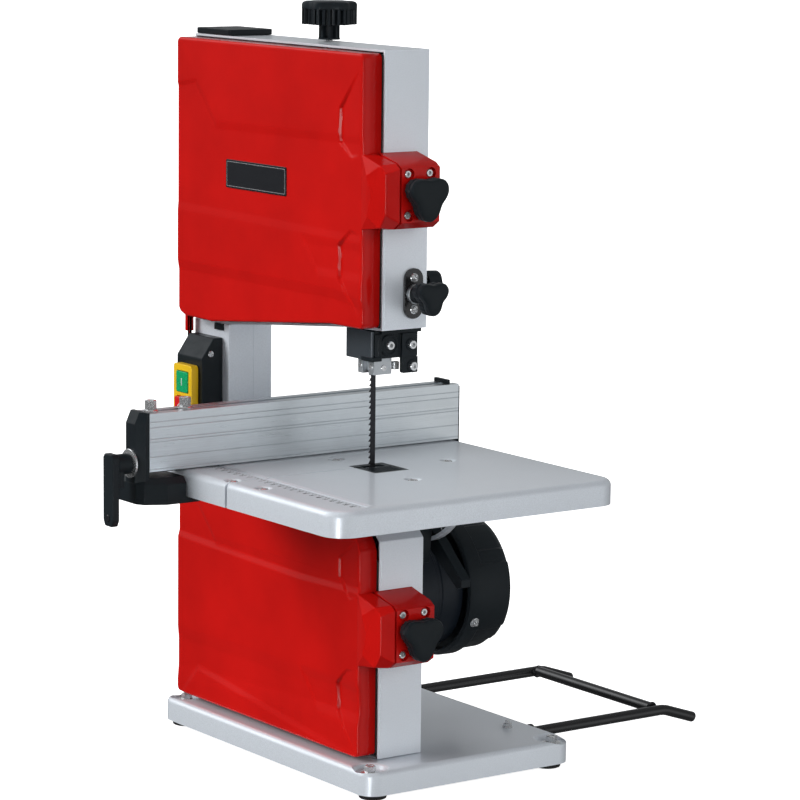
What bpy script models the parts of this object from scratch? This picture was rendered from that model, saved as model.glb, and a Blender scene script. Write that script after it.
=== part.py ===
"""Bench-top band saw with a tilting table, rip fence, two wheel doors and a direct drive motor.

Every length below is in millimetres from the datum, which is the front right corner of the table's top:
X runs to the operator's right, Y runs to the back and Z runs up. Solids are built in the datum's
millimetres and put down in metres, with the world origin under the middle of the saw's footprint.
"""

import math

import bmesh
import bpy
from mathutils import Vector

MM = 0.001
GAP = 0.3                                  # between two separate pieces that rest on each other
FLOOR_Z = -283.0
ORIGIN = Vector((-215.6, 228.62, FLOOR_Z))  # world origin, seen from the datum

# table, blade and wheels
TABLE_X = (-300.0, 0.0)
TABLE_Y = (0.0, 303.0)
TABLE_SKIRT = 22.6
TABLE_PLATE = 5.0
BLADE_X = -169.5
BLADE_Y = 154.0
BLADE_WIDTH = 7.0
BLADE_THICKNESS = 0.6
BAND_RADIUS = 100.0
WHEEL_X = BLADE_X - BAND_RADIUS
UPPER_WHEEL_Z = 252.0
LOWER_WHEEL_Z = -140.0
TYRE_RADIUS = 99.5
RIM_RADIUS = 97.6
WHEEL_HALF_WIDTH = 8.0

# sheet metal frame
LEFT_X = -426.0
RIGHT_X = -119.8
FRONT_Y = 129.0
BACK_Y = 176.5
SHEET = 2.0
UPPER_TOP_Z = 373.3
LOWER_TOP_Z = -33.0
LOWER_CORNER_Z = -58.2
LOWER_CORNER_X = -145.0
BASE_TOP_Z = -256.0
BASE_BOTTOM_Z = -277.7
BASE_X = (-429.8, -84.5)
BASE_Y = (94.3, 323.0)
COLUMN_RIGHT_X = -366.5

# doors
DOOR_X = (-424.8, -122.0)
DOOR_Y = (108.6, 128.2)
DOOR_WALL = 2.6
UPPER_DOOR_TOP_Z = 370.6
LOWER_DOOR_TOP_Z = -50.5
LOWER_DOOR_BOTTOM_Z = -251.9
HINGE_X = -427.2
HINGE_Y = 123.5
UPPER_LATCH_Z = 249.0
LOWER_LATCH_Z = -138.0
LATCH_OUTER_X = -85.0
LATCH_KNOB_Y = 143.7

# blade guide
GUIDE_PINION_RADIUS = 6.0
GUIDE_KNOB_Y = 161.0
GUIDE_KNOB_Z = 160.5
LOCK_KNOB_X = -136.0
LOCK_KNOB_Z = 162.0

# tension, tracking and motor
TENSION_X = -260.0
TENSION_Y = 166.5
TRACKING_Z = 226.0
MOTOR_RADIUS = 58.0
COVER_RADIUS = 70.0
MOTOR_BACK_Y = 300.0
COVER_BACK_Y = 344.5

# fence, tilt lock and switch
FENCE_X = (-266.0, -241.0)
FENCE_Y = (-33.7, 303.0)
FENCE_Z = (1.0, 53.0)
FENCE_LEVER = (-256.0, 8.0)
TILT_LOCK_RADIUS = 65.5
TILT_LEVER_ANGLE = -38.0
SWITCH_X = (-421.0, -376.5)
START_BUTTON = (-398.5, 50.5)
STOP_BUTTON = (-398.5, 26.5)

COLOURS = {
    "silver paint": ((0.52, 0.56, 0.60), 0.38, 0.6),
    "red plastic": ((0.48, 0.006, 0.008), 0.3, 0.0),
    "black plastic": ((0.012, 0.012, 0.014), 0.45, 0.0),
    "rubber": ((0.01, 0.01, 0.01), 0.8, 0.0),
    "black steel": ((0.015, 0.015, 0.016), 0.4, 0.3),
    "aluminium": ((0.6, 0.62, 0.64), 0.35, 1.0),
    "bright steel": ((0.55, 0.55, 0.56), 0.28, 1.0),
    "blade steel": ((0.12, 0.12, 0.13), 0.35, 1.0),
    "yellow plastic": ((0.85, 0.55, 0.01), 0.4, 0.0),
    "green plastic": ((0.01, 0.35, 0.13), 0.35, 0.0),
    "stop red plastic": ((0.7, 0.01, 0.02), 0.35, 0.0),
    "cast iron": ((0.12, 0.12, 0.125), 0.6, 0.8),
}


def clear_scene():
    for item in list(bpy.data.objects):
        bpy.data.objects.remove(item, do_unlink=True)


def material_for(node, look):
    """A Principled material of the node's own."""
    colour, roughness, metallic = COLOURS[look]
    material = bpy.data.materials.new(node)
    material.use_nodes = True
    shader = material.node_tree.nodes["Principled BSDF"]
    shader.inputs["Base Color"].default_value = (*colour, 1.0)
    shader.inputs["Roughness"].default_value = roughness
    shader.inputs["Metallic"].default_value = metallic
    return material


def place(node, solid, look, pivot=(0.0, 0.0, 0.0), smooth=False):
    """Turn a solid in datum millimetres into the named object, with its origin at the pivot."""
    centre = Vector(pivot)
    for vertex in solid.verts:
        vertex.co = (vertex.co - centre) * MM
    bmesh.ops.recalc_face_normals(solid, faces=solid.faces)
    mesh = bpy.data.meshes.new(node)
    solid.to_mesh(mesh)
    solid.free()
    if smooth:
        mesh.shade_smooth()
        mesh.set_sharp_from_angle(angle=math.radians(35.0))
    item = bpy.data.objects.new(node, mesh)
    item.location = (centre - ORIGIN) * MM
    item.data.materials.append(material_for(node, look))
    bpy.context.scene.collection.objects.link(item)
    return item


def point(axis, u, v, along):
    if axis == "x":
        return Vector((along, u, v))
    if axis == "y":
        return Vector((u, along, v))
    return Vector((u, v, along))


def prism(axis, outline, low, high):
    """An outline in the plane across the axis, drawn out from low to high along it."""
    solid = bmesh.new()
    ends = [[solid.verts.new(point(axis, u, v, along)) for u, v in outline] for along in (low, high)]
    solid.faces.new(ends[0])
    solid.faces.new(list(reversed(ends[1])))
    count = len(outline)
    for i in range(count):
        j = (i + 1) % count
        solid.faces.new((ends[0][i], ends[1][i], ends[1][j], ends[0][j]))
    bmesh.ops.recalc_face_normals(solid, faces=solid.faces)
    return solid


def rectangle(u0, u1, v0, v1, radius=0.0, steps=3):
    """A rectangle's outline, with rounded corners when a radius is given."""
    if radius <= 0.0:
        return [(u0, v0), (u1, v0), (u1, v1), (u0, v1)]
    corners = ((u1 - radius, v0 + radius, -90), (u1 - radius, v1 - radius, 0),
               (u0 + radius, v1 - radius, 90), (u0 + radius, v0 + radius, 180))
    outline = []
    for cu, cv, start in corners:
        for i in range(steps + 1):
            turn = math.radians(start + 90.0 * i / steps)
            outline.append((cu + radius * math.cos(turn), cv + radius * math.sin(turn)))
    return outline


def circle(cu, cv, radius, count=24, lobes=0, lobe=0.0, phase=0.0):
    """A circle's outline, or a lobed one for a hand knob."""
    outline = []
    for i in range(count):
        turn = 2.0 * math.pi * i / count
        r = radius + lobe * math.cos(lobes * (turn - phase))
        outline.append((cu + r * math.cos(turn), cv + r * math.sin(turn)))
    return outline


def block(x, y, z):
    return prism("z", rectangle(x[0], x[1], y[0], y[1]), z[0], z[1])


def turned(axis, cu, cv, profile, count=32, closed=False):
    """A profile of (radius, along) stations turned about the axis through (cu, cv)."""
    solid = bmesh.new()
    rings = []
    for radius, along in profile:
        rings.append([solid.verts.new(point(axis, u, v, along)) for u, v in circle(cu, cv, radius, count)])
    pairs = list(zip(rings, rings[1:]))
    if closed:
        pairs.append((rings[-1], rings[0]))
    else:
        solid.faces.new(rings[0])
        solid.faces.new(list(reversed(rings[-1])))
    for one, two in pairs:
        for i in range(count):
            j = (i + 1) % count
            solid.faces.new((one[i], two[i], two[j], one[j]))
    bmesh.ops.recalc_face_normals(solid, faces=solid.faces)
    return solid


def ring(axis, cu, cv, inner, outer, low, high, count=32):
    stations = [(inner, low), (outer, low), (outer, high), (inner, high)]
    return turned(axis, cu, cv, stations, count, closed=True)


def combined(base, tool, operation):
    """The boolean of two solids, as a new solid."""
    items = []
    for shape in (base, tool):
        mesh = bpy.data.meshes.new("shape")
        shape.to_mesh(mesh)
        shape.free()
        item = bpy.data.objects.new("shape", mesh)
        bpy.context.scene.collection.objects.link(item)
        items.append(item)
    modifier = items[0].modifiers.new("combine", "BOOLEAN")
    modifier.operation = operation
    modifier.solver = "EXACT"
    modifier.object = items[1]
    graph = bpy.context.evaluated_depsgraph_get()
    result = bmesh.new()
    result.from_mesh(items[0].evaluated_get(graph).to_mesh())
    for item in items:
        mesh = item.data
        bpy.data.objects.remove(item, do_unlink=True)
        bpy.data.meshes.remove(mesh)
    bmesh.ops.remove_doubles(result, verts=result.verts, dist=0.001)
    return result


def cut(base, *tools):
    for tool in tools:
        base = combined(base, tool, "DIFFERENCE")
    return base


def fuse(base, *tools):
    for tool in tools:
        base = combined(base, tool, "UNION")
    return base


def tube(route, radius, count=12):
    """A round bar along a route of points, mitred at each bend."""
    solid = bmesh.new()
    rings = []
    for i, here in enumerate(route):
        before = Vector(route[max(i - 1, 0)])
        after = Vector(route[min(i + 1, len(route) - 1)])
        here = Vector(here)
        into = (here - before).normalized() if i else (after - here).normalized()
        out = (after - here).normalized() if i < len(route) - 1 else into
        along = (into + out).normalized()
        side = Vector((1.0, 0.0, 0.0)) if abs(along.x) < 0.7 else Vector((0.0, 1.0, 0.0))
        across = along.cross(side).normalized()
        side = across.cross(along).normalized()
        stretch = 1.0 / max(along.dot(out), 0.3)
        circle_points = circle(0.0, 0.0, radius, count)
        rings.append([solid.verts.new(here + side * u + across * v * stretch) for u, v in circle_points])
    solid.faces.new(rings[0])
    solid.faces.new(list(reversed(rings[-1])))
    for one, two in zip(rings, rings[1:]):
        for i in range(count):
            j = (i + 1) % count
            solid.faces.new((one[i], two[i], two[j], one[j]))
    bmesh.ops.recalc_face_normals(solid, faces=solid.faces)
    return solid


def build_base():
    x0, x1 = BASE_X
    y0, y1 = BASE_Y
    pan = prism("z", rectangle(x0, x1, y0, y1, 16.0, 4), BASE_BOTTOM_Z, BASE_TOP_Z)
    hollow = prism("z", rectangle(x0 + 2.5, x1 - 2.5, y0 + 2.5, y1 - 2.5, 13.5, 4),
                   BASE_BOTTOM_Z - 1.0, BASE_TOP_Z - 2.5)
    pan = cut(pan, hollow)
    for x in (-340.0, -150.0):
        pan = cut(pan, prism("y", circle(x, -264.6, 5.6, 12), y1 - 6.0, y1 + 2.0))
    place("base_plate", pan, "silver paint")
    feet = {"front_left": (x0 + 17.0, y0 + 17.0), "front_right": (x1 - 17.0, y0 + 17.0),
            "rear_left": (x0 + 17.0, y1 - 17.0), "rear_right": (x1 - 17.0, y1 - 17.0)}
    for side, (x, y) in feet.items():
        stations = [(11.0, FLOOR_Z), (12.5, FLOOR_Z + 1.5), (12.5, BASE_BOTTOM_Z + 2.0),
                    (9.0, BASE_TOP_Z - 2.5 - GAP)]
        place("foot_" + side, turned("z", x, y, stations, 20), "rubber", smooth=True)


def build_rear_support():
    for side, x in (("left", -340.0), ("right", -150.0)):
        route = [(x, 262.0, -264.6), (x, 484.0, -264.6), (x, 492.0, -266.4), (x, 523.0, -277.9)]
        place("rear_support_" + side, tube(route, 5.0), "black steel", smooth=True)
    bar = prism("x", circle(475.0, -263.0, 5.0, 12), -334.6, -155.4)
    place("rear_support_crossbar", bar, "black steel", smooth=True)


def housing(outline, inset_outline):
    """A sheet metal wheel housing: an outline drawn back to front, hollow, with its front open."""
    shell = prism("y", outline, FRONT_Y, BACK_Y)
    return cut(shell, prism("y", inset_outline, FRONT_Y - 1.0, BACK_Y - SHEET))


def build_upper_housing():
    outline = [(LEFT_X, 109.7), (-411.0, 106.5), (-366.0, 106.5), (-290.0, 114.7), (-174.0, 126.5),
               (RIGHT_X, 129.2), (RIGHT_X, UPPER_TOP_Z), (LEFT_X, UPPER_TOP_Z)]
    inset = [(LEFT_X + SHEET, 111.7), (-411.0, 108.5), (-366.0, 108.5), (-290.0, 116.7),
             (-174.0, 128.5), (RIGHT_X - SHEET, 131.2), (RIGHT_X - SHEET, UPPER_TOP_Z - SHEET),
             (LEFT_X + SHEET, UPPER_TOP_Z - SHEET)]
    shell = housing(outline, inset)
    holes = (
        block((-190.0, -146.0), (141.0, 174.4), (110.0, 140.0)),
        block((-378.0, -367.5), (146.0, 162.0), (104.0, 112.0)),
        prism("z", circle(TENSION_X, TENSION_Y, 5.0, 20), UPPER_TOP_Z - 4.0, UPPER_TOP_Z + 2.0),
        prism("x", circle(GUIDE_KNOB_Y, GUIDE_KNOB_Z, 4.6, 20), RIGHT_X - 4.0, RIGHT_X + 2.0),
        prism("y", circle(LOCK_KNOB_X, LOCK_KNOB_Z, 3.6, 16), BACK_Y - 4.0, BACK_Y + 2.0),
        prism("y", circle(WHEEL_X, TRACKING_Z, 4.6, 16), BACK_Y - 4.0, BACK_Y + 2.0),
    )
    place("upper_housing", cut(shell, *holes), "silver paint")


def build_lower_housing():
    low = BASE_TOP_Z + GAP
    outline = [(LEFT_X, low), (RIGHT_X, low), (RIGHT_X, LOWER_CORNER_Z), (LOWER_CORNER_X, LOWER_TOP_Z),
               (LEFT_X, LOWER_TOP_Z)]
    inset = [(LEFT_X + SHEET, low + SHEET), (RIGHT_X - SHEET, low + SHEET),
             (RIGHT_X - SHEET, LOWER_CORNER_Z - 0.8), (LOWER_CORNER_X - 0.8, LOWER_TOP_Z - SHEET),
             (LEFT_X + SHEET, LOWER_TOP_Z - SHEET)]
    shell = housing(outline, inset)
    holes = (
        block((-176.0, -163.0), (141.0, 172.0), (-38.0, -30.0)),
        block((-378.0, -367.5), (146.0, 162.0), (-38.0, -30.0)),
        prism("y", circle(WHEEL_X, LOWER_WHEEL_Z, 9.0, 24), BACK_Y - 4.0, BACK_Y + 2.0),
    )
    shell = cut(shell, *holes)
    lip = block((LEFT_X + 8.0, LOWER_CORNER_X - 4.0), (FRONT_Y, FRONT_Y + 1.5), (-56.0, -33.5))
    place("lower_housing", fuse(shell, lip), "silver paint")


def build_column():
    low = LOWER_TOP_Z + GAP
    high = 106.5 - GAP
    shaft = block((LEFT_X, COLUMN_RIGHT_X), (FRONT_Y, BACK_Y), (low, high))
    bore = block((LEFT_X + SHEET, COLUMN_RIGHT_X - SHEET + 1.0), (FRONT_Y + SHEET, BACK_Y - SHEET),
                 (low - 1.0, high + 1.0))
    place("column", cut(shaft, bore), "silver paint")
    cap = prism("z", rectangle(LEFT_X + 0.5, COLUMN_RIGHT_X, FRONT_Y, BACK_Y, 3.0, 2),
                UPPER_TOP_Z + GAP, UPPER_TOP_Z + 5.7)
    place("column_cap", cap, "black plastic")


def latch_section(centre_z):
    """The latch block's outline across Y: sloped above and below."""
    return [(RIGHT_X + GAP, centre_z - 31.0), (-94.0, centre_z - 28.0), (LATCH_OUTER_X, centre_z - 22.0),
            (LATCH_OUTER_X, centre_z + 25.0), (-91.0, centre_z + 29.0), (RIGHT_X + GAP, centre_z + 36.0)]


def build_latches():
    for side, z in (("upper", UPPER_LATCH_Z), ("lower", LOWER_LATCH_Z)):
        keeper = prism("y", latch_section(z), 123.4, 164.0)
        trim = prism("x", [(150.0, z + 44.0), (168.0, z + 44.0), (168.0, z + 20.0)], -130.0, -80.0)
        bore = prism("x", circle(LATCH_KNOB_Y, z, 5.6, 20), -125.0, -80.0)
        place(side + "_latch_keeper", cut(keeper, trim, bore), "red plastic")
        outline = circle(LATCH_KNOB_Y, z + 1.0, 18.0, 36, 3, 3.4, math.radians(-90.0))
        knob = prism("x", outline, -80.5, -69.6)
        stem = prism("x", circle(LATCH_KNOB_Y, z, 10.0, 20), LATCH_OUTER_X + GAP, -80.0)
        pin = prism("x", circle(LATCH_KNOB_Y, z, 5.0, 16), -116.0, LATCH_OUTER_X + 1.0)
        place(side + "_latch_knob", fuse(knob, stem, pin), "black plastic",
              (LATCH_OUTER_X, LATCH_KNOB_Y, z), True)


def door(node, outline, inner, latch_z, knuckles):
    """A moulded door: a tray with its back open, a latch block and two hinge knuckles."""
    y0, y1 = DOOR_Y
    body = prism("y", outline, y0, y1)
    body = cut(body, prism("y", inner, y0 + DOOR_WALL, y1 + 1.0))
    latch = prism("y", [(x - 2.6 if x < -110.0 else x, z) for x, z in latch_section(latch_z)], 104.5, 122.9)
    body = fuse(body, latch)
    for z0, z1 in knuckles:
        knuckle = prism("z", circle(HINGE_X, HINGE_Y, 4.0, 16), z0, z1)
        web = block((HINGE_X + 1.0, DOOR_X[0] + 1.0), (HINGE_Y - 4.0, HINGE_Y - 1.0), (z0, z1))
        body = fuse(body, knuckle, web)
        body = cut(body, prism("z", circle(HINGE_X, HINGE_Y, 2.0, 16), z0 - 1.0, z1 + 1.0))
    place(node, body, "red plastic", (HINGE_X, HINGE_Y, latch_z))


def hinge_rod(node, low, high, holders):
    rod = prism("z", circle(HINGE_X, HINGE_Y, 1.6, 12), low, high)
    for z0, z1 in holders:
        rod = fuse(rod, block((HINGE_X - 1.5, HINGE_X + 1.8), (HINGE_Y - 1.0, FRONT_Y - GAP), (z0, z1)))
    place(node, rod, "bright steel")


def build_doors():
    x0, x1 = DOOR_X
    w = DOOR_WALL
    top = UPPER_DOOR_TOP_Z
    outline = [(x0, 114.7), (x0 + 12.0, 110.6), (-368.0, 110.2), (-173.4, 130.8), (x1, 131.4),
               (x1, top - 5.0), (x1 - 5.0, top), (x0 + 5.0, top), (x0, top - 5.0)]
    inner = [(x0 + w, 117.3), (x0 + 13.0, 113.2), (-368.0, 112.8), (-173.4, 133.4), (x1 - w, 134.0),
             (x1 - w, top - 6.0), (x1 - 6.0, top - w), (x0 + 6.0, top - w), (x0 + w, top - 6.0)]
    door("upper_door", outline, inner, UPPER_LATCH_Z, ((94.0, 140.0), (340.0, 364.0)))
    hinge_rod("upper_hinge_rod", 92.0, 366.0, ((144.0, 158.0), (322.0, 336.0)))
    low, top = LOWER_DOOR_BOTTOM_Z, LOWER_DOOR_TOP_Z
    outline = [(x0 + 5.0, low), (x1 - 5.0, low), (x1, low + 5.0), (x1, -62.0), (x1 - 11.5, top),
               (x0 + 5.0, top), (x0, top - 5.0), (x0, low + 5.0)]
    inner = [(x0 + 6.0, low + w), (x1 - 6.0, low + w), (x1 - w, low + 6.0), (x1 - w, -63.1),
             (x1 - 12.6, top - w), (x0 + 6.0, top - w), (x0 + w, top - 6.0), (x0 + w, low + 6.0)]
    door("lower_door", outline, inner, LOWER_LATCH_Z, ((-242.0, -218.0), (-86.0, -62.0)))
    hinge_rod("lower_hinge_rod", -244.0, -60.0, ((-214.0, -200.0), (-104.0, -90.0)))


def build_blade():
    """One endless band round both wheels, seen across Y as a ring with two straight runs."""
    low = BLADE_Y - BLADE_WIDTH / 2.0
    high = BLADE_Y + BLADE_WIDTH / 2.0
    solid = bmesh.new()
    loops = []
    steps = 24
    for radius in (BAND_RADIUS, BAND_RADIUS + BLADE_THICKNESS):
        for along in (low, high):
            loop = []
            for i in range(steps + 1):
                turn = math.pi * i / steps
                loop.append(solid.verts.new(point("y", WHEEL_X + radius * math.cos(turn),
                                                  UPPER_WHEEL_Z + radius * math.sin(turn), along)))
            for i in range(steps + 1):
                turn = math.pi * (1.0 + i / steps)
                loop.append(solid.verts.new(point("y", WHEEL_X + radius * math.cos(turn),
                                                  LOWER_WHEEL_Z + radius * math.sin(turn), along)))
            loops.append(loop)
    count = len(loops[0])
    for one, two in ((0, 1), (1, 3), (3, 2), (2, 0)):
        for i in range(count):
            j = (i + 1) % count
            solid.faces.new((loops[one][i], loops[two][i], loops[two][j], loops[one][j]))
    place("saw_blade", solid, "blade steel")


def wheel(node, z):
    """A cast wheel: hub, thin web and rim."""
    y = BLADE_Y
    h = WHEEL_HALF_WIDTH
    stations = [(6.4, y - h), (17.0, y - h), (17.0, y - 2.5), (88.0, y - 2.5), (91.0, y - h),
                (RIM_RADIUS, y - h), (RIM_RADIUS, y + h), (91.0, y + h), (88.0, y + 2.5),
                (17.0, y + 2.5), (17.0, y + h), (6.4, y + h)]
    place(node, turned("y", WHEEL_X, z, stations, 40, closed=True), "aluminium", (WHEEL_X, y, z), True)


def build_wheels():
    y = BLADE_Y
    for side, z in (("upper", UPPER_WHEEL_Z), ("lower", LOWER_WHEEL_Z)):
        wheel(side + "_wheel", z)
        tyre = ring("y", WHEEL_X, z, RIM_RADIUS + GAP, TYRE_RADIUS, y - 7.5, y + 7.5, 48)
        place(side + "_tyre", tyre, "rubber", (WHEEL_X, y, z), True)
    axle = turned("y", WHEEL_X, UPPER_WHEEL_Z, [(9.0, 142.0), (9.0, 145.4), (6.0, 145.4), (6.0, 168.3)], 20)
    place("upper_axle", axle, "bright steel", (WHEEL_X, y, UPPER_WHEEL_Z), True)
    shaft = turned("y", WHEEL_X, LOWER_WHEEL_Z,
                   [(9.0, 142.0), (9.0, 145.4), (6.0, 145.4), (6.0, 334.0)], 20)
    place("motor_shaft", shaft, "bright steel", (WHEEL_X, y, LOWER_WHEEL_Z), True)


def build_tension():
    plate = block((-296.0, -242.0), (168.6, 173.4), (236.0, 300.0))
    nut = block((TENSION_X - 9.0, TENSION_X + 9.0), (162.9, 169.0), (284.0, 300.0))
    carriage = fuse(plate, nut)
    bore = prism("z", circle(TENSION_X, TENSION_Y, 3.4, 16), 230.0, 310.0)
    place("wheel_carriage", cut(carriage, bore), "cast iron", (WHEEL_X, TENSION_Y, UPPER_WHEEL_Z))
    screw = prism("z", circle(TENSION_X, TENSION_Y, 3.0, 16), 268.0, 374.5)
    place("tension_screw", screw, "bright steel", (TENSION_X, TENSION_Y, UPPER_TOP_Z), True)
    outline = circle(TENSION_X, TENSION_Y, 23.0, 48, 6, 2.0)
    head = prism("z", outline, 388.0, 409.5)
    stem = prism("z", circle(TENSION_X, TENSION_Y, 9.0, 20), 374.9, 389.0)
    place("tension_knob", fuse(head, stem), "black plastic", (TENSION_X, TENSION_Y, UPPER_TOP_Z), True)
    outline = circle(WHEEL_X, TRACKING_Z, 16.0, 36, 3, 3.5, math.radians(90.0))
    head = prism("y", outline, 184.0, 200.0)
    stem = prism("y", circle(WHEEL_X, TRACKING_Z, 7.0, 20), BACK_Y + GAP, 185.0)
    place("tracking_knob", fuse(head, stem), "black plastic", (WHEEL_X, BACK_Y, TRACKING_Z), True)


def build_motor():
    x, z = WHEEL_X, LOWER_WHEEL_Z
    front = BACK_Y + GAP
    stations = [(8.0, front), (50.0, front), (MOTOR_RADIUS, front + 10.0), (MOTOR_RADIUS, MOTOR_BACK_Y),
                (8.0, MOTOR_BACK_Y)]
    motor = turned("y", x, z, stations, 40, closed=True)
    place("motor_housing", motor, "black plastic", (x, BACK_Y, z), True)
    r = COVER_RADIUS
    bore = MOTOR_RADIUS + GAP
    stations = [(r - 10.0, COVER_BACK_Y), (r, 332.0), (r, 296.0), (r - 5.0, 290.0), (bore, 290.0),
                (bore, 301.0), (r - 3.0, 303.0), (r - 3.0, 330.0), (r - 12.0, COVER_BACK_Y - 3.0)]
    cover = turned("y", x, z, stations, 40)
    place("fan_cover", cover, "black plastic", (x, MOTOR_BACK_Y, z), True)
    fan = ring("y", x, z, 6.4, 14.0, 308.0, 330.0, 24)
    fan = fuse(fan, ring("y", x, z, 12.0, 60.0, 308.0, 310.5, 32))
    for i in range(8):
        turn = 2.0 * math.pi * i / 8
        along = Vector((math.cos(turn), math.sin(turn)))
        across = Vector((-math.sin(turn), math.cos(turn)))
        corners = [along * 13.0 - across, along * 58.0 - across]
        corners += [along * 58.0 + across, along * 13.0 + across]
        fan = fuse(fan, prism("y", [(x + c.x, z + c.y) for c in corners], 309.0, 330.0))
    place("cooling_fan", fan, "black plastic", (x, 308.0, z))


def build_guide():
    post = block((-160.3, -148.3), (167.6, 173.6), (124.6, 290.0))
    place("guide_post", post, "bright steel", (BLADE_X, BLADE_Y, 125.0))
    body = block((-187.0, -151.0), (142.5, 190.0), (99.2, 124.2))
    blade_way = block((-171.5, -167.5), (141.0, 161.0), (90.0, 130.0))
    bearing_way = block((-174.0, -165.0), (156.5, 176.0), (90.0, 106.5))
    bracket = block((-152.0, -147.8), (171.0, 187.0), (85.7, 121.0))
    place("guide_block", fuse(cut(body, blade_way, bearing_way), bracket), "black plastic",
          (BLADE_X, BLADE_Y, 112.0))
    guard = prism("z", [(-188.9, 139.0), (-150.0, 139.0), (-150.0, 150.0), (-150.7, 150.0),
                        (-150.7, 142.2), (-188.9, 142.2)], 98.0, 124.2)
    place("blade_guard", guard, "black plastic", (BLADE_X, BLADE_Y, 112.0))
    jaws = (("left", -181.4, -173.9, -174.5, -170.2), ("right", -165.1, -156.6, -168.8, -164.5))
    for side, x0, x1, n0, n1 in jaws:
        jaw = block((x0, x1), (146.6, 166.0), (84.0, 98.9))
        nose = block((n0, n1), (150.8, 157.2), (86.5, 96.5))
        place("guide_jaw_" + side, fuse(jaw, nose), "bright steel", (BLADE_X, BLADE_Y, 91.0))
    bearing = ring("x", 165.4, 91.5, 2.5, 7.0, -172.4, -166.6, 24)
    place("thrust_bearing", bearing, "bright steel", (BLADE_X, 165.4, 91.5), True)
    plate = prism("x", rectangle(151.2, 170.8, 138.2, 182.8, 9.7, 5), RIGHT_X + GAP, -117.0)
    plate = cut(plate, prism("x", circle(GUIDE_KNOB_Y, GUIDE_KNOB_Z, 4.6, 20), -121.0, -110.0))
    place("guide_knob_plate", plate, "black plastic")
    centre = (GUIDE_KNOB_Y, GUIDE_KNOB_Z)
    head = prism("x", circle(*centre, 13.6, 36, 3, 3.0, math.radians(-90.0)), -100.0, -85.0)
    shaft = prism("x", circle(*centre, 4.0, 16), -160.0, -99.0)
    collar = prism("x", circle(*centre, 8.0, 20), -116.5, -99.0)
    pinion = prism("x", circle(*centre, GUIDE_PINION_RADIUS, 24), -159.5, -149.0)
    place("guide_height_knob", fuse(head, collar, shaft, pinion), "black plastic",
          (RIGHT_X, GUIDE_KNOB_Y, GUIDE_KNOB_Z), True)
    centre = (LOCK_KNOB_X, LOCK_KNOB_Z)
    head = prism("y", circle(*centre, 12.0, 36, 3, 2.8, math.radians(90.0)), 187.0, 201.0)
    stem = prism("y", circle(*centre, 6.5, 20), BACK_Y + GAP, 188.0)
    screw = prism("y", circle(*centre, 3.0, 16), 172.0, BACK_Y + 1.0)
    place("guide_lock_knob", fuse(head, stem, screw), "black plastic",
          (LOCK_KNOB_X, BACK_Y, LOCK_KNOB_Z), True)
    sleeve = block((-166.0, -126.0), (163.6, 174.2), (190.0, 216.0))
    sleeve = cut(sleeve, block((-160.9, -147.7), (167.0, 175.0), (188.0, 218.0)))
    place("guide_post_sleeve", sleeve, "cast iron")


def build_lower_guide():
    low = LOWER_TOP_Z + GAP
    saddle = block((-186.0, -153.0), (142.0, 174.0), (low, -29.0))
    saddle = cut(saddle, block((-173.5, -165.5), (141.0, 168.0), (-40.0, -20.0)))
    for x0, x1, n0, n1 in ((-181.0, -173.5, -174.0, -170.2), (-165.5, -158.0, -168.8, -165.0)):
        saddle = fuse(saddle, block((x0, x1), (146.6, 166.0), (-30.0, -19.5)))
        saddle = fuse(saddle, block((n0, n1), (150.8, 157.2), (-30.0, -20.5)))
    place("lower_guide", saddle, "bright steel")


def build_table():
    x0, x1 = TABLE_X
    y0, y1 = TABLE_Y
    top = prism("z", rectangle(x0, x1, y0, y1, 16.0, 5), -TABLE_SKIRT, 0.0)
    inner = rectangle(x0 + 3.0, x1 - 3.0, y0 + 3.0, y1 - 3.0, 13.0, 5)
    hollow = prism("z", inner, -TABLE_SKIRT - 1.0, -TABLE_PLATE)
    seat = block((-180.5, -137.0), (136.0, 173.5), (-2.5, 1.0))
    well = block((-176.5, -141.0), (140.0, 169.5), (-8.0, 1.0))
    slot = block((-170.8, -168.2), (-2.0, 137.0), (-30.0, 2.0))
    pivot = (BLADE_X, BLADE_Y, 0.0)
    place("table", cut(top, hollow, seat, well, slot), "silver paint", pivot)
    insert = block((-180.1, -137.4), (136.4, 173.1), (-2.2, -0.1))
    insert = cut(insert, prism("z", rectangle(-173.5, -163.5, 143.0, 166.0, 4.0, 3), -4.0, 2.0))
    place("table_insert", insert, "black plastic", pivot)
    arc = []
    for i in range(25):
        turn = math.radians(180.0 + 4.0 + 172.0 * i / 24)
        arc.append((BLADE_X + 73.0 * math.cos(turn), 73.0 * math.sin(turn)))
    for i in range(25):
        turn = math.radians(360.0 - 6.0 - 168.0 * i / 24)
        arc.append((BLADE_X + 57.5 * math.cos(turn), 57.5 * math.sin(turn)))
    segment = prism("y", arc, 205.0, 211.0)
    way = []
    for radius, angles in ((69.3, range(-98, -39, 4)), (61.7, range(-42, -99, -4))):
        for angle in angles:
            turn = math.radians(angle)
            way.append((BLADE_X + radius * math.cos(turn), radius * math.sin(turn)))
    segment = cut(segment, prism("y", way, 203.0, 213.0))
    flange = block((BLADE_X - 73.0, BLADE_X + 73.0), (205.0, 222.0), (-9.0, -TABLE_PLATE - GAP))
    place("table_trunnion", fuse(segment, flange), "silver paint", pivot)


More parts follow.
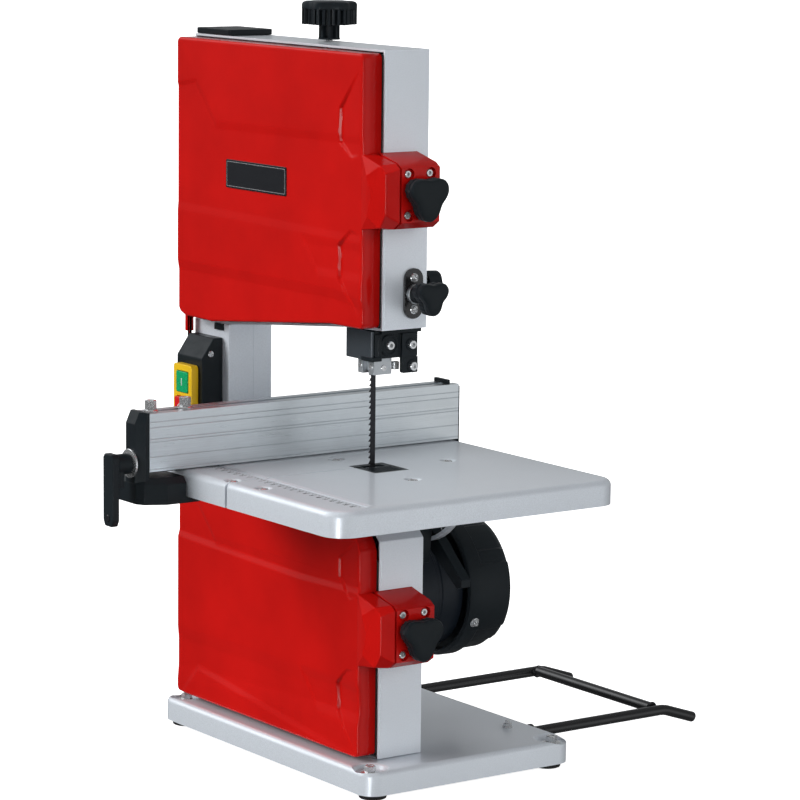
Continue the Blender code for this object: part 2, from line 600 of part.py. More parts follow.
def build_tilt_lock():
    z = -TILT_LOCK_RADIUS
    bracket = prism("y", [(-190.0, -90.0), (-149.0, -90.0), (-145.0, -58.0), (-157.0, -48.0),
                          (-182.0, -48.0), (-190.0, -58.0)], BACK_Y + GAP, 204.7)
    bracket = cut(bracket, prism("y", circle(BLADE_X, z, 4.2, 16), 174.0, 206.0))
    place("trunnion_bracket", bracket, "cast iron")
    hub = prism("y", circle(BLADE_X, z, 9.0, 24), 211.4, 226.0)
    bolt = prism("y", circle(BLADE_X, z, 3.4, 16), 179.0, 212.0)
    turn = math.radians(TILT_LEVER_ANGLE)
    along = Vector((math.cos(turn), math.sin(turn)))
    across = Vector((-math.sin(turn), math.cos(turn)))
    ends = [along * 4.0 - across * 8.5, along * 66.0 - across * 5.5, along * 70.0,
            along * 66.0 + across * 5.5, along * 4.0 + across * 8.5]
    arm = prism("y", [(BLADE_X + c.x, z + c.y) for c in ends], 215.0, 225.0)
    place("tilt_lock_lever", fuse(hub, bolt, arm), "black plastic", (BLADE_X, BACK_Y, z))


def build_fence():
    x0, x1 = FENCE_X
    z0, z1 = FENCE_Z
    pivot = (x1, 0.0, 0.0)
    outline = [(x0, z0), (x1, z0)]
    for fraction in (0.25, 0.54, 0.86):
        z = z0 + fraction * (z1 - z0)
        outline += [(x1, z - 1.6), (x1 - 1.2, z - 1.2), (x1 - 1.2, z + 1.2), (x1, z + 1.6)]
    outline += [(x1, z1), (-250.0, z1), (-250.0, z1 - 3.0), (-257.0, z1 - 3.0), (-257.0, z1), (x0, z1)]
    profile = prism("y", outline, FENCE_Y[0], FENCE_Y[1])
    inside = rectangle(x0 + 2.6, x1 - 3.4, z0 + 2.6, z1 - 6.0)
    hollow = prism("y", inside, FENCE_Y[0] - 1.0, FENCE_Y[1] + 1.0)
    place("fence_profile", cut(profile, hollow), "aluminium", pivot)
    upright = [(-44.5, -20.0), (-34.1, -20.0), (-34.1, 54.0), (-39.0, 54.0), (-44.5, 44.0)]
    head = prism("x", upright, x0 - 0.6, x1 + 0.6)
    foot = prism("z", [(-276.0, -2.5), (-276.0, -44.5), (-247.0, -44.5), (-239.0, -40.0), (-230.0, -22.0),
                       (-230.0, -2.5)], -27.5, -4.0)
    lip = block((-276.0, -230.0), (-4.0, 12.0), (-27.5, -23.2))
    clamp = fuse(head, foot, lip)
    clamp = cut(clamp, prism("y", circle(*FENCE_LEVER, 4.4, 16), -50.0, -37.0))
    place("fence_clamp", clamp, "black plastic", pivot)
    back = block((x0, x1), (303.4, 305.2), (-26.0, 57.0))
    top = block((-262.0, -244.0), (288.0, 304.4), (53.3, 57.5))
    hook = block((x0, x1), (296.0, 305.2), (-27.0, -23.2))
    place("fence_rear_clip", fuse(back, top, hook), "black plastic", pivot)
    x, z = FENCE_LEVER
    hub = prism("y", circle(x, z, 9.0, 24), -62.0, -44.9)
    bolt = prism("y", circle(x, z, 3.6, 16), -46.0, -38.0)
    outline = [(x - 7.0, z + 9.0), (x - 8.5, z + 4.0), (x - 7.5, z - 52.0), (x - 3.0, z - 55.0),
               (x + 3.0, z - 55.0), (x + 7.5, z - 52.0), (x + 8.5, z + 4.0), (x + 7.0, z + 9.0)]
    arm = prism("y", outline, -67.5, -59.5)
    place("fence_lever", fuse(hub, bolt, arm), "black plastic", (x, -45.0, z))


def build_switch():
    outline = [(FRONT_Y - GAP, -20.0), (FRONT_Y - GAP, 92.5), (119.0, 92.5), (106.0, 74.0), (106.0, -20.0)]
    place("switch_box", prism("x", outline, *SWITCH_X), "black plastic")
    plate = prism("y", rectangle(-414.5, -382.5, 8.0, 67.0, 3.0, 2), 98.0, 105.7)
    ways = []
    for x, z in (START_BUTTON, STOP_BUTTON):
        ways.append(block((x - 10.2, x + 10.2), (94.0, 108.0), (z - 10.2, z + 10.2)))
    place("switch_plate", cut(plate, *ways), "yellow plastic")
    buttons = (("start_button", START_BUTTON, 97.0, "green plastic"),
               ("stop_button", STOP_BUTTON, 95.0, "stop red plastic"))
    for node, (x, z), front, look in buttons:
        place(node, block((x - 9.8, x + 9.8), (front, 102.4), (z - 9.8, z + 9.8)), look, (x, front, z))
    gland = turned("y", -396.0, 20.0, [(9.0, BACK_Y + GAP), (9.0, 182.0), (6.5, 184.0), (6.5, 192.0)], 20)
    place("cable_gland", gland, "black plastic", smooth=True)


def main():
    clear_scene()
    build_base()
    build_rear_support()
    build_upper_housing()
    build_lower_housing()
    build_column()
    build_latches()
    build_doors()
    build_blade()
    build_wheels()
    build_tension()
    build_motor()
    build_guide()
    build_lower_guide()
    build_table()
    build_tilt_lock()
    build_fence()
    build_switch()


main()
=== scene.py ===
"""The looks of the bench-top band saw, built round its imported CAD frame.

Lengths are in millimetres from a datum at the front right corner of the table's top: X runs to the
operator's right, Y to the back and Z up. They are put down in metres where the frame says that corner is.
"""

from math import cos, degrees, hypot, pi, radians, sin

import bmesh
import bpy
import numpy as np
from mathutils import Matrix, Vector

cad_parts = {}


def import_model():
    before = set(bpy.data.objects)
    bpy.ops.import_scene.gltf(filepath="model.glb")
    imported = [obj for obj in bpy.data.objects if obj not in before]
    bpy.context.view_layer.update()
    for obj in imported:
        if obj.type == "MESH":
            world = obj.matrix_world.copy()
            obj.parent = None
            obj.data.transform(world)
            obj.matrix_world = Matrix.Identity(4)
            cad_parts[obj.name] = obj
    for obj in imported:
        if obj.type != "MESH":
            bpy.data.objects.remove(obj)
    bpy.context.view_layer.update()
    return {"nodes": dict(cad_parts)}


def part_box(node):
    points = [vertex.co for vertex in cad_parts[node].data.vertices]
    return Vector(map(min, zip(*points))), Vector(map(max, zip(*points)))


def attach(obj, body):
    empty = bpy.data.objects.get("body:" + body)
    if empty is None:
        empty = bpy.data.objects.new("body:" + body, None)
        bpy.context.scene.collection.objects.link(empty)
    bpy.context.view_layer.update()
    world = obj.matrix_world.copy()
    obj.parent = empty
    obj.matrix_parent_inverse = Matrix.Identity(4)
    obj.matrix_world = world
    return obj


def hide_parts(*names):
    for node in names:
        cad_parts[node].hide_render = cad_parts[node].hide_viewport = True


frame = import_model()

MM = 0.001
TABLE_LOW, TABLE_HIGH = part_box("table")
DATUM = Vector((TABLE_HIGH.x, TABLE_LOW.y, TABLE_HIGH.z))
FLOOR_Z = -DATUM.z / MM

BLADE_X = -169.5
BLADE_Y = 154.0
WHEEL_X = -269.5
UPPER_WHEEL_Z = 252.0
LOWER_WHEEL_Z = -140.0
HINGE_X = -427.2
HINGE_Y = 123.5
UPPER_LATCH_Z = 249.0
LOWER_LATCH_Z = -138.0
LATCH_KNOB_Y = 143.7
BACK_Y = 176.5
RIGHT_X = -119.8
STRIP_LEFT = -162.0
DOOR_X = (-424.8, -122.0)
RIB_Y = (114.6, 126.5)
WEB_Z = 112.5
BAND_RADIUS = 100.3
SUPPORT_Z = -264.6
SUPPORTS = (("left", -340.0), ("right", -150.0))
GUIDE_KNOB = (161.0, 160.5)

RIGHT, BACK, UP, FRONT = (1, 0, 0), (0, 1, 0), (0, 0, 1), (0, -1, 0)


def world(point):
    """A point's place in the scene."""
    return DATUM + Vector(point) * MM


# -------- materials


def feed(tree, socket, value):
    """Link a socket to the output of a node, or set its value."""
    if isinstance(value, bpy.types.NodeSocket):
        tree.links.new(value, socket)
    elif socket.type == "RGBA":
        socket.default_value = (*value, 1)
    else:
        socket.default_value = value


class Nodes:
    """A material's node tree with short calls for its nodes."""

    def __init__(self, name, **values):
        self.material = bpy.data.materials.new(name)
        self.material.use_nodes = True
        self.tree = self.material.node_tree
        self.place = self.tree.nodes.new("ShaderNodeTexCoord").outputs["Object"]
        self.shader = self.tree.nodes["Principled BSDF"]
        self.fill(self.shader, values)

    def fill(self, node, values):
        for key, value in values.items():
            feed(self.tree, node.inputs[key.replace("_", " ")], value)

    def add(self, kind, output, **values):
        node = self.tree.nodes.new("ShaderNode" + kind)
        self.fill(node, values)
        return node.outputs[output]

    def stretched(self, scale):
        return self.add("Mapping", "Vector", Vector=self.place, Scale=scale)

    def noise(self, scale, detail=3, rough=0.55, vector=None):
        return self.add("TexNoise", "Fac", Vector=vector or self.place, Scale=scale, Detail=detail,
                        Roughness=rough)

    def cells(self, scale):
        return self.add("TexVoronoi", "Color", Vector=self.place, Scale=scale)

    def spread(self, value, low, high, start=0.3, end=0.7):
        """Map the values from start to end onto low to high."""
        return self.add("MapRange", "Result", Value=value, From_Min=start, From_Max=end, To_Min=low,
                        To_Max=high)

    def mix(self, one, two, amount, mode="MIX"):
        node = self.tree.nodes.new("ShaderNodeMix")
        node.data_type = "RGBA"
        node.blend_type = mode
        for place, value in ((6, one), (7, two), (0, amount)):
            feed(self.tree, node.inputs[place], value)
        return node.outputs[2]

    def shades(self, colour, dark, light, value):
        """A colour between a darker and a lighter tone of itself."""
        return self.mix(tone(colour, dark), tone(colour, light), self.spread(value, 0, 1))

    def bump(self, height, strength, distance, normal=None):
        under = {"Normal": normal} if normal else {}
        return self.add("Bump", "Normal", Height=height, Strength=strength, Distance=distance, **under)

    def out(self, **values):
        self.fill(self.shader, values)
        return self.material


def tone(colour, factor):
    return tuple(min(1, c * factor) for c in colour)


def metallic_paint(name, colour, metallic=0.3, rough=(0.32, 0.42)):
    """Silver paint: fine bright flakes, faint orange peel and broad patches."""
    n = Nodes(name, Metallic=metallic, Coat_Weight=0.5, Coat_Roughness=0.12)
    grain = n.noise(1700, 2)
    patches = n.noise(9)
    shade = n.mix(n.shades(colour, 0.86, 1.1, grain), n.cells(2600), 0.05, "OVERLAY")
    shade = n.mix(shade, tone(colour, 0.93), n.spread(patches, 0, 0.5, 0.35))
    peel = n.bump(n.noise(220, 2), 0.12, 0.0006)
    return n.out(Base_Color=shade, Roughness=n.spread(patches, *rough),
                 Normal=n.bump(grain, 0.05, 0.0002, peel))


def moulded(name, colour, rough=(0.2, 0.3), grain=0, grain_scale=1400, coat=0, wear=None, gloss=0.5):
    """Moulded plastic: a tinted body with cloudiness, a spark-eroded grain and faint scuffs."""
    n = Nodes(name, Coat_Weight=coat, Coat_Roughness=0.08, IOR=1.5, Specular_IOR_Level=gloss)
    scuffs = n.noise(90, 4, vector=n.stretched((1, 1.6, 2.2)))
    shade = n.shades(colour, 0.9, 1.08, n.noise(14, 4))
    shade = n.mix(shade, wear or tone(colour, 1.6), n.spread(scuffs, 0, 0.10, 0.62, 0.9))
    normal = n.bump(n.noise(170, 2), 0.03, 0.0008)
    if grain > 0:
        normal = n.bump(n.noise(grain_scale, 3, 0.6), grain, 0.0002, normal)
    return n.out(Base_Color=shade, Roughness=n.spread(scuffs, *rough, 0.35, 0.75), Normal=normal)


def bare_metal(name, colour, rough, stretch=(1, 1, 1), scale=260, streak=0.5, bump=0.05, metallic=1):
    """Bare metal with brushing or casting texture, along the short stretch axis."""
    n = Nodes(name, Metallic=metallic)
    brush = n.noise(scale, 5, 0.6, n.stretched(stretch))
    shade = n.shades(colour, 1 - 0.3 * streak, 1 + 0.2 * streak, brush)
    shade = n.mix(shade, tone(colour, 0.8), n.spread(n.noise(18), 0, 0.4, 0.45, 0.75))
    return n.out(Base_Color=shade, Roughness=n.spread(brush, *rough), Normal=n.bump(brush, bump, 0.0003))


def rubber(name, colour):
    n = Nodes(name)
    dust = n.noise(45, 5)
    shade = n.mix(colour, tone(colour, 2.4), n.spread(dust, 0, 0.6, 0.45, 0.8))
    return n.out(Base_Color=shade, Roughness=n.spread(dust, 0.7, 0.9),
                 Normal=n.bump(n.noise(900), 0.25, 0.0003))


SILVER = metallic_paint("silver_paint", (0.78, 0.83, 0.89))
RED = moulded("red_plastic", (0.50, 0.006, 0.0045), (0.13, 0.2), wear=(0.56, 0.015, 0.015), gloss=0.2)
BLACK = moulded("black_plastic", (0.011, 0.015, 0.018), (0.34, 0.46), grain=0.35, wear=(0.04, 0.04, 0.045),
                gloss=0.2)
GLOSS_BLACK = moulded("gloss_black", (0.012, 0.013, 0.016), (0.16, 0.26), coat=0.3, wear=(0.03, 0.03, 0.035))
YELLOW = moulded("yellow_plastic", (0.80, 0.50, 0.012), (0.3, 0.42), grain=0.15)
GREEN = moulded("green_plastic", (0.005, 0.36, 0.13), (0.22, 0.34))
STOP_RED = moulded("stop_red_plastic", (0.62, 0.012, 0.014), (0.22, 0.34))
RUBBER = rubber("rubber", (0.014, 0.014, 0.014))
BLACK_STEEL = moulded("black_steel", (0.010, 0.010, 0.011), (0.2, 0.34), grain=0.08, grain_scale=500,
                      coat=0.4, wear=(0.03, 0.03, 0.03))
ALUMINIUM = bare_metal("brushed_aluminium", (0.83, 0.88, 0.91), (0.26, 0.4), (1, 0.02, 1), 700, 0.3, 0.04)
CAST_ALUMINIUM = bare_metal("cast_aluminium", (0.55, 0.57, 0.58), (0.36, 0.52), scale=420, streak=0.4,
                            bump=0.12)
STEEL = bare_metal("bright_steel", (0.80, 0.81, 0.82), (0.18, 0.3), scale=500, streak=0.3, bump=0.04,
                   metallic=0.8)
BLADE_STEEL = bare_metal("blade_steel", (0.05, 0.05, 0.055), (0.26, 0.42), (1, 1, 0.03), 900, 0.8, 0.05)
SLATE = metallic_paint("slate_paint", (0.075, 0.09, 0.105), 0.5, (0.32, 0.44))
MOTOR_BLACK = moulded("motor_black", (0.008, 0.012, 0.018), (0.3, 0.42), grain=0.12, grain_scale=700,
                      gloss=0.25)
ZINC = metallic_paint("zinc_casting", (0.55, 0.58, 0.61), 0.7, (0.24, 0.34))
WHITE = moulded("white_mark", (0.75, 0.75, 0.75), (0.3, 0.4))
CAST_IRON = bare_metal("cast_iron", (0.09, 0.09, 0.095), (0.5, 0.68), scale=480, streak=0.7, bump=0.3,
                       metallic=0.6)

# -------- outlines


def rectangle(u0, u1, v0, v1, radius=0, steps=4):
    if radius <= 0:
        return [(u0, v0), (u1, v0), (u1, v1), (u0, v1)]
    corners = ((u1 - radius, v0 + radius, -90), (u1 - radius, v1 - radius, 0),
               (u0 + radius, v1 - radius, 90), (u0 + radius, v0 + radius, 180))
    outline = []
    for cu, cv, start in corners:
        for i in range(steps + 1):
            turn = radians(start + 90 * i / steps)
            outline.append((cu + radius * cos(turn), cv + radius * sin(turn)))
    return outline


def polar(count, reach, cu=0, cv=0):
    """Points evenly round a centre, as far from it as a function of the angle says."""
    turns = [2 * pi * i / count for i in range(count)]
    return [(cu + reach(turn) * cos(turn), cv + reach(turn) * sin(turn)) for turn in turns]


def circle(cu, cv, radius, count=32, lobes=0, lobe=0):
    return polar(count, lambda turn: radius + lobe * cos(lobes * turn), cu, cv)


def ring(radius, count=24):
    return circle(0, 0, radius, count)


def three_sided(cu, cv, radius, lobe, phase, ripple=0):
    return polar(72, lambda turn: radius + lobe * cos(3 * (turn - phase)) + ripple * cos(24 * turn), cu, cv)


def hexagon(radius):
    return polar(24, lambda turn: radius * cos(pi / 6) / cos(turn % (pi / 3) - pi / 6))


def cross(length, half):
    def reach(turn):
        off = abs((turn + pi / 4) % (pi / 2) - pi / 4)
        return min(length / cos(off), half / max(sin(off), 1e-3))

    return polar(24, reach)


def gear_outline(cu, cv, outer, inner, teeth):
    outline = []
    for i in range(teeth):
        for share, radius in ((0, inner), (0.2, inner), (0.35, outer), (0.65, outer), (0.8, inner)):
            turn = 2 * pi * (i + share) / teeth
            outline.append((cu + radius * cos(turn), cv + radius * sin(turn)))
    return outline


def spoke(cu, cv, turn, corners):
    """A fin's outline from corners (distance out, distance aside), turned round a centre by degrees."""
    c, s = cos(radians(turn)), sin(radians(turn))
    return [(cu + c * r - s * w, cv + s * r + c * w) for r, w in corners]


# -------- solids


def skin(rings, closed=False):
    """A solid over rings of as many points, with a face over each end unless it closes on itself."""
    solid = bmesh.new()
    rings = [[solid.verts.new(point) for point in points] for points in rings]
    pairs = list(zip(rings, rings[1:]))
    if closed:
        pairs.append((rings[-1], rings[0]))
    else:
        solid.faces.new(rings[0])
        solid.faces.new(list(reversed(rings[-1])))
    for one, two in pairs:
        for i in range(len(one)):
            j = (i + 1) % len(one)
            solid.faces.new((one[i], two[i], two[j], one[j]))
    bmesh.ops.recalc_face_normals(solid, faces=solid.faces)
    return solid


def at(axis, u, v, along):
    return {"x": (along, u, v), "y": (u, along, v), "z": (u, v, along)}[axis]


def loft(axis, stations, closed=False):
    """A solid through outlines with as many points each, one at each station along an axis."""
    return skin([[at(axis, u, v, along) for u, v in outline] for outline, along in stations], closed)


def prism(axis, outline, low, high):
    return loft(axis, [(outline, low), (outline, high)])


def block(x, y, z, radius=0, steps=4):
    return prism("z", rectangle(*x, *y, radius, steps), *z)


def turned(axis, cu, cv, profile, count=40, closed=False):
    """A solid of revolution through (radius, place along the axis)."""
    return loft(axis, [(circle(cu, cv, radius, count), along) for radius, along in profile], closed)


def mesh_of(name, solid):
    mesh = bpy.data.meshes.new(name)
    solid.to_mesh(mesh)
    solid.free()
    return mesh


def put(name, data):
    """A new object in the scene."""
    item = bpy.data.objects.new(name, data)
    bpy.context.scene.collection.objects.link(item)
    return item


def joined(*solids):
    """Several separate solids in one mesh."""
    whole = bmesh.new()
    for solid in solids:
        mesh = mesh_of("part", solid)
        whole.from_mesh(mesh)
        bpy.data.meshes.remove(mesh)
    return whole


def cut(base, *tools):
    """A solid less the tools, one after another."""
    for tool in tools:
        items = [put("shape", mesh_of("shape", solid)) for solid in (base, tool)]
        modifier = items[0].modifiers.new("cut", "BOOLEAN")
        modifier.operation = "DIFFERENCE"
        modifier.solver = "EXACT"
        modifier.object = items[1]
        graph = bpy.context.evaluated_depsgraph_get()
        base = bmesh.new()
        base.from_mesh(items[0].evaluated_get(graph).to_mesh())
        for item in items:
            bpy.data.meshes.remove(item.data)
        bmesh.ops.remove_doubles(base, verts=base.verts, dist=0.001)
    return base


def rounded(solid, width, segments, angle, picked=lambda a, b: True):
    """Round the edges sharper than the angle whose two ends pass a test."""
    edges = [edge for edge in solid.edges
             if edge.calc_face_angle(0) > radians(angle) and picked(edge.verts[0].co, edge.verts[1].co)]
    bmesh.ops.bevel(solid, geom=edges, offset=width, segments=segments, profile=0.5, affect="EDGES",
                    clamp_overlap=True)


def piece(name, solid, material, body, node="", bevel=0, segments=2, angle=35):
    """Put a solid down as a named piece on a CAD body, in a node's place if it has one, with fine edges."""
    for vertex in solid.verts:
        vertex.co = world(vertex.co)
    bmesh.ops.recalc_face_normals(solid, faces=solid.faces)
    mesh = mesh_of(name, solid)
    mesh.shade_smooth()
    mesh.set_sharp_from_angle(angle=radians(angle))
    mesh.materials.append(material)
    item = put(name, mesh)
    if bevel > 0:
        round_edges(item, bevel, segments, angle)
    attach(item, body)
    if node:
        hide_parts(node)
    return item


def round_edges(item, width, segments, angle):
    modifier = item.modifiers.new("edges", "BEVEL")
    modifier.width = width * MM
    modifier.segments = segments
    modifier.limit_method = "ANGLE"
    modifier.angle_limit = radians(angle)
    modifier.harden_normals = True
    modifier.miter_outer = "MITER_ARC"


def dress(node, material, bevel, segments, angle):
    """Give a CAD node that keeps its shape its finish and fine edges."""
    item = frame["nodes"][node]
    item.data.materials.clear()
    item.data.materials.append(material)
    weld = item.modifiers.new("weld", "WELD")
    weld.merge_threshold = 0.00002
    round_edges(item, bevel, segments, angle)


# -------- camera, light and floor


def aim_camera():
    """A long lens from the operator's right, a little above the table."""
    yaw, pitch, roll = radians(54.442), radians(9.015), radians(0.658)
    ahead = Vector((-sin(yaw) * cos(pitch), cos(yaw) * cos(pitch), -sin(pitch)))
    right = Vector((cos(yaw), sin(yaw), 0))
    up = right.cross(ahead)
    side = right * cos(roll) + up * sin(roll)
    over = up * cos(roll) - right * sin(roll)
    data = bpy.data.cameras.new("camera")
    data.lens = 154.31
    data.sensor_width = 36
    data.clip_end = 200
    camera = put("camera", data)
    turn = Matrix((side, over, -ahead)).transposed().to_4x4()
    camera.matrix_world = Matrix.Translation(world((2298.889, -1579.783, 538.508))) @ turn
    bpy.context.scene.camera = camera


# Soft panels of the surround: direction, narrowness and strength.
SURROUND = (((0.57, -0.80, -0.16), 130, 13), ((0.80, 0.57, -0.06), 12, 0.62),
            ((-0.72, -0.48, 0.50), 20, 2.4), ((-0.80, 0.57, 0.2), 10, 0.32), ((0, 0, 1), 6, 0.4))
# Lamps: name, direction, strength and spread in degrees.
SUNS = (("key", (-0.42, -0.80, 0.40), 2.7, 30), ("fill", (0.97, -0.10, 0.12), 1.75, 60),
        ("back", (-0.30, 0.90, 0.30), 0.8, 60))


def light_studio():
    """Soft studio light: three broad lamps, and a dim surround with a few soft panels."""
    for name, source, strength, spread in SUNS:
        data = bpy.data.lights.new(name, "SUN")
        data.energy = strength
        data.angle = radians(spread)
        lamp = put(name, data)
        lamp.rotation_mode = "QUATERNION"
        lamp.rotation_quaternion = Vector(source).to_track_quat("Z", "Y")
        lamp.visible_glossy = False
    surround = bpy.data.worlds.new("surround")
    surround.use_nodes = True
    tree = surround.node_tree
    back = tree.nodes["Background"]
    place = tree.nodes.new("ShaderNodeTexCoord")

    def add(kind, operation, output, *values):
        node = tree.nodes.new("ShaderNode" + kind)
        node.operation = operation
        for socket, value in zip(node.inputs, values):
            feed(tree, socket, value)
        return node.outputs[output]

    def towards(direction):
        way = Vector(direction).normalized()
        return add("VectorMath", "DOT_PRODUCT", "Value", place.outputs["Generated"], way)

    total = add("Math", "MULTIPLY_ADD", 0, towards((0.80, 0.60, 0)), 0.05, 0.11)
    for direction, power, strength in SURROUND:
        facing = add("Math", "MAXIMUM", 0, towards(direction), 0)
        panel = add("Math", "MULTIPLY", 0, add("Math", "POWER", 0, facing, power), strength)
        total = add("Math", "ADD", 0, total, panel)
    feed(tree, back.inputs["Strength"], total)
    feed(tree, back.inputs["Color"], (0.96, 0.98, 1))
    bpy.context.scene.world = surround
    bpy.context.scene.view_settings.view_transform = "Standard"


def lay_floor():
    n = Nodes("floor", Roughness=0.7, Emission_Color=(1, 1, 1), Emission_Strength=0.9,
              Specular_IOR_Level=0.2)
    solid = bmesh.new()
    bmesh.ops.create_circle(solid, cap_ends=True, segments=96, radius=60)
    floor = put("floor", mesh_of("floor", solid))
    floor.location = (0, 0, -0.0003)
    floor.visible_glossy = False
    floor.visible_diffuse = False
    shade = n.mix((0.80, 0.80, 0.80), (0.83, 0.83, 0.83), n.noise(3))
    floor.data.materials.append(n.out(Base_Color=shade))


# -------- doors


def facet(x, z, paths, depth):
    """How far points lie in a facet of one or more convex regions, the deeper one counting.

    A region's path is points (x, z, width of the slope along the edge up to there), its inside on the left.
    """
    deepest = np.zeros_like(x)
    for path in paths:
        share = np.ones_like(x)
        for (x0, z0, _), (x1, z1, width) in zip(path, path[1:]):
            along = hypot(x1 - x0, z1 - z0)
            inside = ((x1 - x0) * (z - z0) - (z1 - z0) * (x - x0)) / along
            share = np.minimum(share, inside / width)
        deepest = np.maximum(deepest, np.clip(share, 0, 1))
    return deepest * depth


def spaced(low, high, step, radius):
    """Stations from low to high, closer together over the rounded edge at both ends."""
    near = radius * (1 - np.cos(np.linspace(0, pi / 2, 5)))
    inner = np.linspace(low + radius, high - radius, max(2, int((high - low - 2 * radius) / step)))
    return np.concatenate([low + near[:-1], inner, (high - near[:-1])[::-1]])


def door_shell(name, body, bottom, top, sunk):
    """A moulded door skin: its front follows the sunk facets and rolls over into its four sides."""
    x0, x1 = DOOR_X
    front, back = 108.6, 127.4
    radius, corner, step, height = 2.2, 5, 1.4, 250
    xs = spaced(x0, x1, step, radius)
    between = 0.5 * (xs[1:] + xs[:-1])
    xs = np.sort(np.concatenate([xs, between[(between > STRIP_LEFT) & (between < x1 - radius)]]))
    X, V = np.meshgrid(xs, spaced(0, height, step, radius) / height, indexing="ij")
    low, high = bottom(X), top(X)
    Z = low + V * (high - low)
    across = np.minimum(X - x0, x1 - X)
    over = np.minimum(Z - low, high - Z)
    edge = np.minimum(across, over / np.maximum((high - low) / height, 0.2))
    u = np.clip(corner - across, 0, corner)
    v = np.clip(corner - over, 0, corner)
    pull = np.where((u > 0) & (v > 0), np.maximum(u, v) / np.maximum(np.hypot(u, v), 1e-6), 1)
    X = X + np.where(X - x0 < x1 - X, 1, -1) * (u - u * pull)
    Z = Z + np.where(Z - low < high - Z, 1, -1) * (v - v * pull)
    sink = np.zeros_like(X)
    for depth, *paths in sunk:
        sink = sink + facet(X, Z, paths, depth(X) if callable(depth) else depth)
    rise = radius - np.clip(edge, 0, radius)
    Y = front + sink + radius - np.sqrt(np.maximum(radius ** 2 - rise ** 2, 0))
    solid = bmesh.new()
    grid = [[solid.verts.new(point) for point in zip(*row)] for row in zip(X, Y, Z)]
    for one, two in zip(grid, grid[1:]):
        for j in range(len(one) - 1):
            solid.faces.new((one[j], two[j], two[j + 1], one[j + 1]))
    border = [row[0] for row in grid] + grid[-1][1:] + [row[-1] for row in grid[-2::-1]] + grid[0][-2:0:-1]
    rim = [solid.verts.new((v.co.x, back, v.co.z)) for v in border]
    for i in range(len(border)):
        j = (i + 1) % len(border)
        solid.faces.new((border[i], rim[i], rim[j], border[j]))
    item = piece(name, solid, RED, body, body, angle=45)
    shell = item.modifiers.new("wall", "SOLIDIFY")
    shell.thickness = 2.3 * MM
    shell.offset = -1


def strip_depth(x):
    """The sunk strip by the right edge is level at the edge and deepest at its left."""
    return 2.8 * np.clip((-127 - x) / 31, 0, 1.1)


def upper_bottom(x):
    """The upper door's lower edge, which rises towards the right."""
    return np.interp(x, (-424.8, -412.8, -368, -173.4, -122), (114.7, 110.6, 110.2, 130.8, 131.4))


def lower_top(x):
    """The lower door's upper edge, which drops at its right end."""
    return np.interp(x, (-424.8, -133.5, -122), (-50.5, -50.5, -62))


def build_doors():
    upper = (
        (-0.9, ((-440, 323, 0), (-394, 330, 3)), ((-394, 330, 0), (-358, 290, 6), (-100, 292.5, 7))),
        (-0.7, ((-100, 213, 0), (-267, 216, 8), (-440, 218, 8))),
        (1.6, ((-100, 154, 0), (-186, 166, 9), (-402, 163, 9), (-440, 163, 9))),
        (0.8, ((-160, 207, 0), (-219, 207, 8), (-190, 172, 3.5), (-160, 172, 8))),
        (strip_depth,
         ((-116, 370, 0), (-158, 322, 1.6), (-159, 292, 2.4), (-140, 280, 1.6), (-110, 285, 1.6)),
         ((-110, 212, 0), (-141, 217, 1.6), (-160, 202, 1.6), (-159, 173, 2.4), (-120, 132, 1.6))),
    )
    door_shell("upper_door_shell", "upper_door", upper_bottom, lambda x: np.full_like(x, 370.6), upper)
    lower = (
        (1.8, ((-440, -114, 0), (-219, -107, 6.5), (-100, -110, 6.5))),
        (-1, ((-386, -71, 0), (-357, -100, 4), (-100, -100, 9))),
        (-0.6, ((-187, -111, 0), (-200, -103, 3), (-187, -96, 2), (-150, -96, 4), (-137, -111, 4))),
        (1.1, ((-100, -182, 0), (-251, -185, 12), (-340, -182, 14))),
        (-1.2, ((-357, -185, 0), (-388, -219, 5), (-440, -213, 6))),
        (-1.2, ((-100, -208, 0), (-189, -213, 14), (-388, -220, 14))),
        (1, ((-160, -184, 0), (-218, -184, 9), (-187, -222, 3), (-160, -222, 9))),
        (strip_depth,
         ((-120, -50, 0), (-156, -76, 1.6), (-156, -94, 2), (-137, -111, 1.6), (-110, -104, 1.6)),
         ((-110, -168, 0), (-142, -175, 1.6), (-158, -190, 1.6), (-157, -215, 2), (-120, -256, 1.6))),
    )
    door_shell("lower_door_shell", "lower_door", lambda x: np.full_like(x, -251.9), lower_top, lower)


# -------- hardware


def upright(stations, centre, outward):
    """A loft built up +Z, stood on a point so that it points outward."""
    solid = loft("z", stations)
    turn = Vector(outward).to_track_quat("Z", "Y")
    for vertex in solid.verts:
        vertex.co = turn @ vertex.co + Vector(centre)
    return solid


def socket_screw(centre, outward, r, h):
    return upright([(ring(r), 0), (ring(r), h - 0.35), (ring(r - 0.35), h), (hexagon(0.56 * r), h),
                    (hexagon(0.52 * r), 0.3 * h)], centre, outward)


def cross_screw(centre, outward, r, h):
    return upright([(ring(r), -0.2), (ring(r), 0.3 * h), (ring(0.86 * r), 0.75 * h),
                    (cross(0.62 * r, 0.2 * r), h), (cross(0.42 * r, 0.1 * r), 0.1 * h)], centre, outward)


def flange_bolt(centre, outward, r, h, flange):
    return upright([(ring(flange), 0), (ring(flange), 0.9), (ring(r + 0.4), 1.7), (hexagon(r), 1.8),
                    (hexagon(r), h - 0.5), (hexagon(0.86 * r), h), (ring(0.5 * r), h),
                    (ring(0.4 * r), h - 0.6)], centre, outward)


def washer(centre, outward, inner, outer, h):
    profile = ((outer, 0), (outer, h - 0.3), (outer - 0.4, h), (inner + 0.3, h), (inner, h - 0.4))
    return upright([(ring(radius, 32), along) for radius, along in profile], centre, outward)


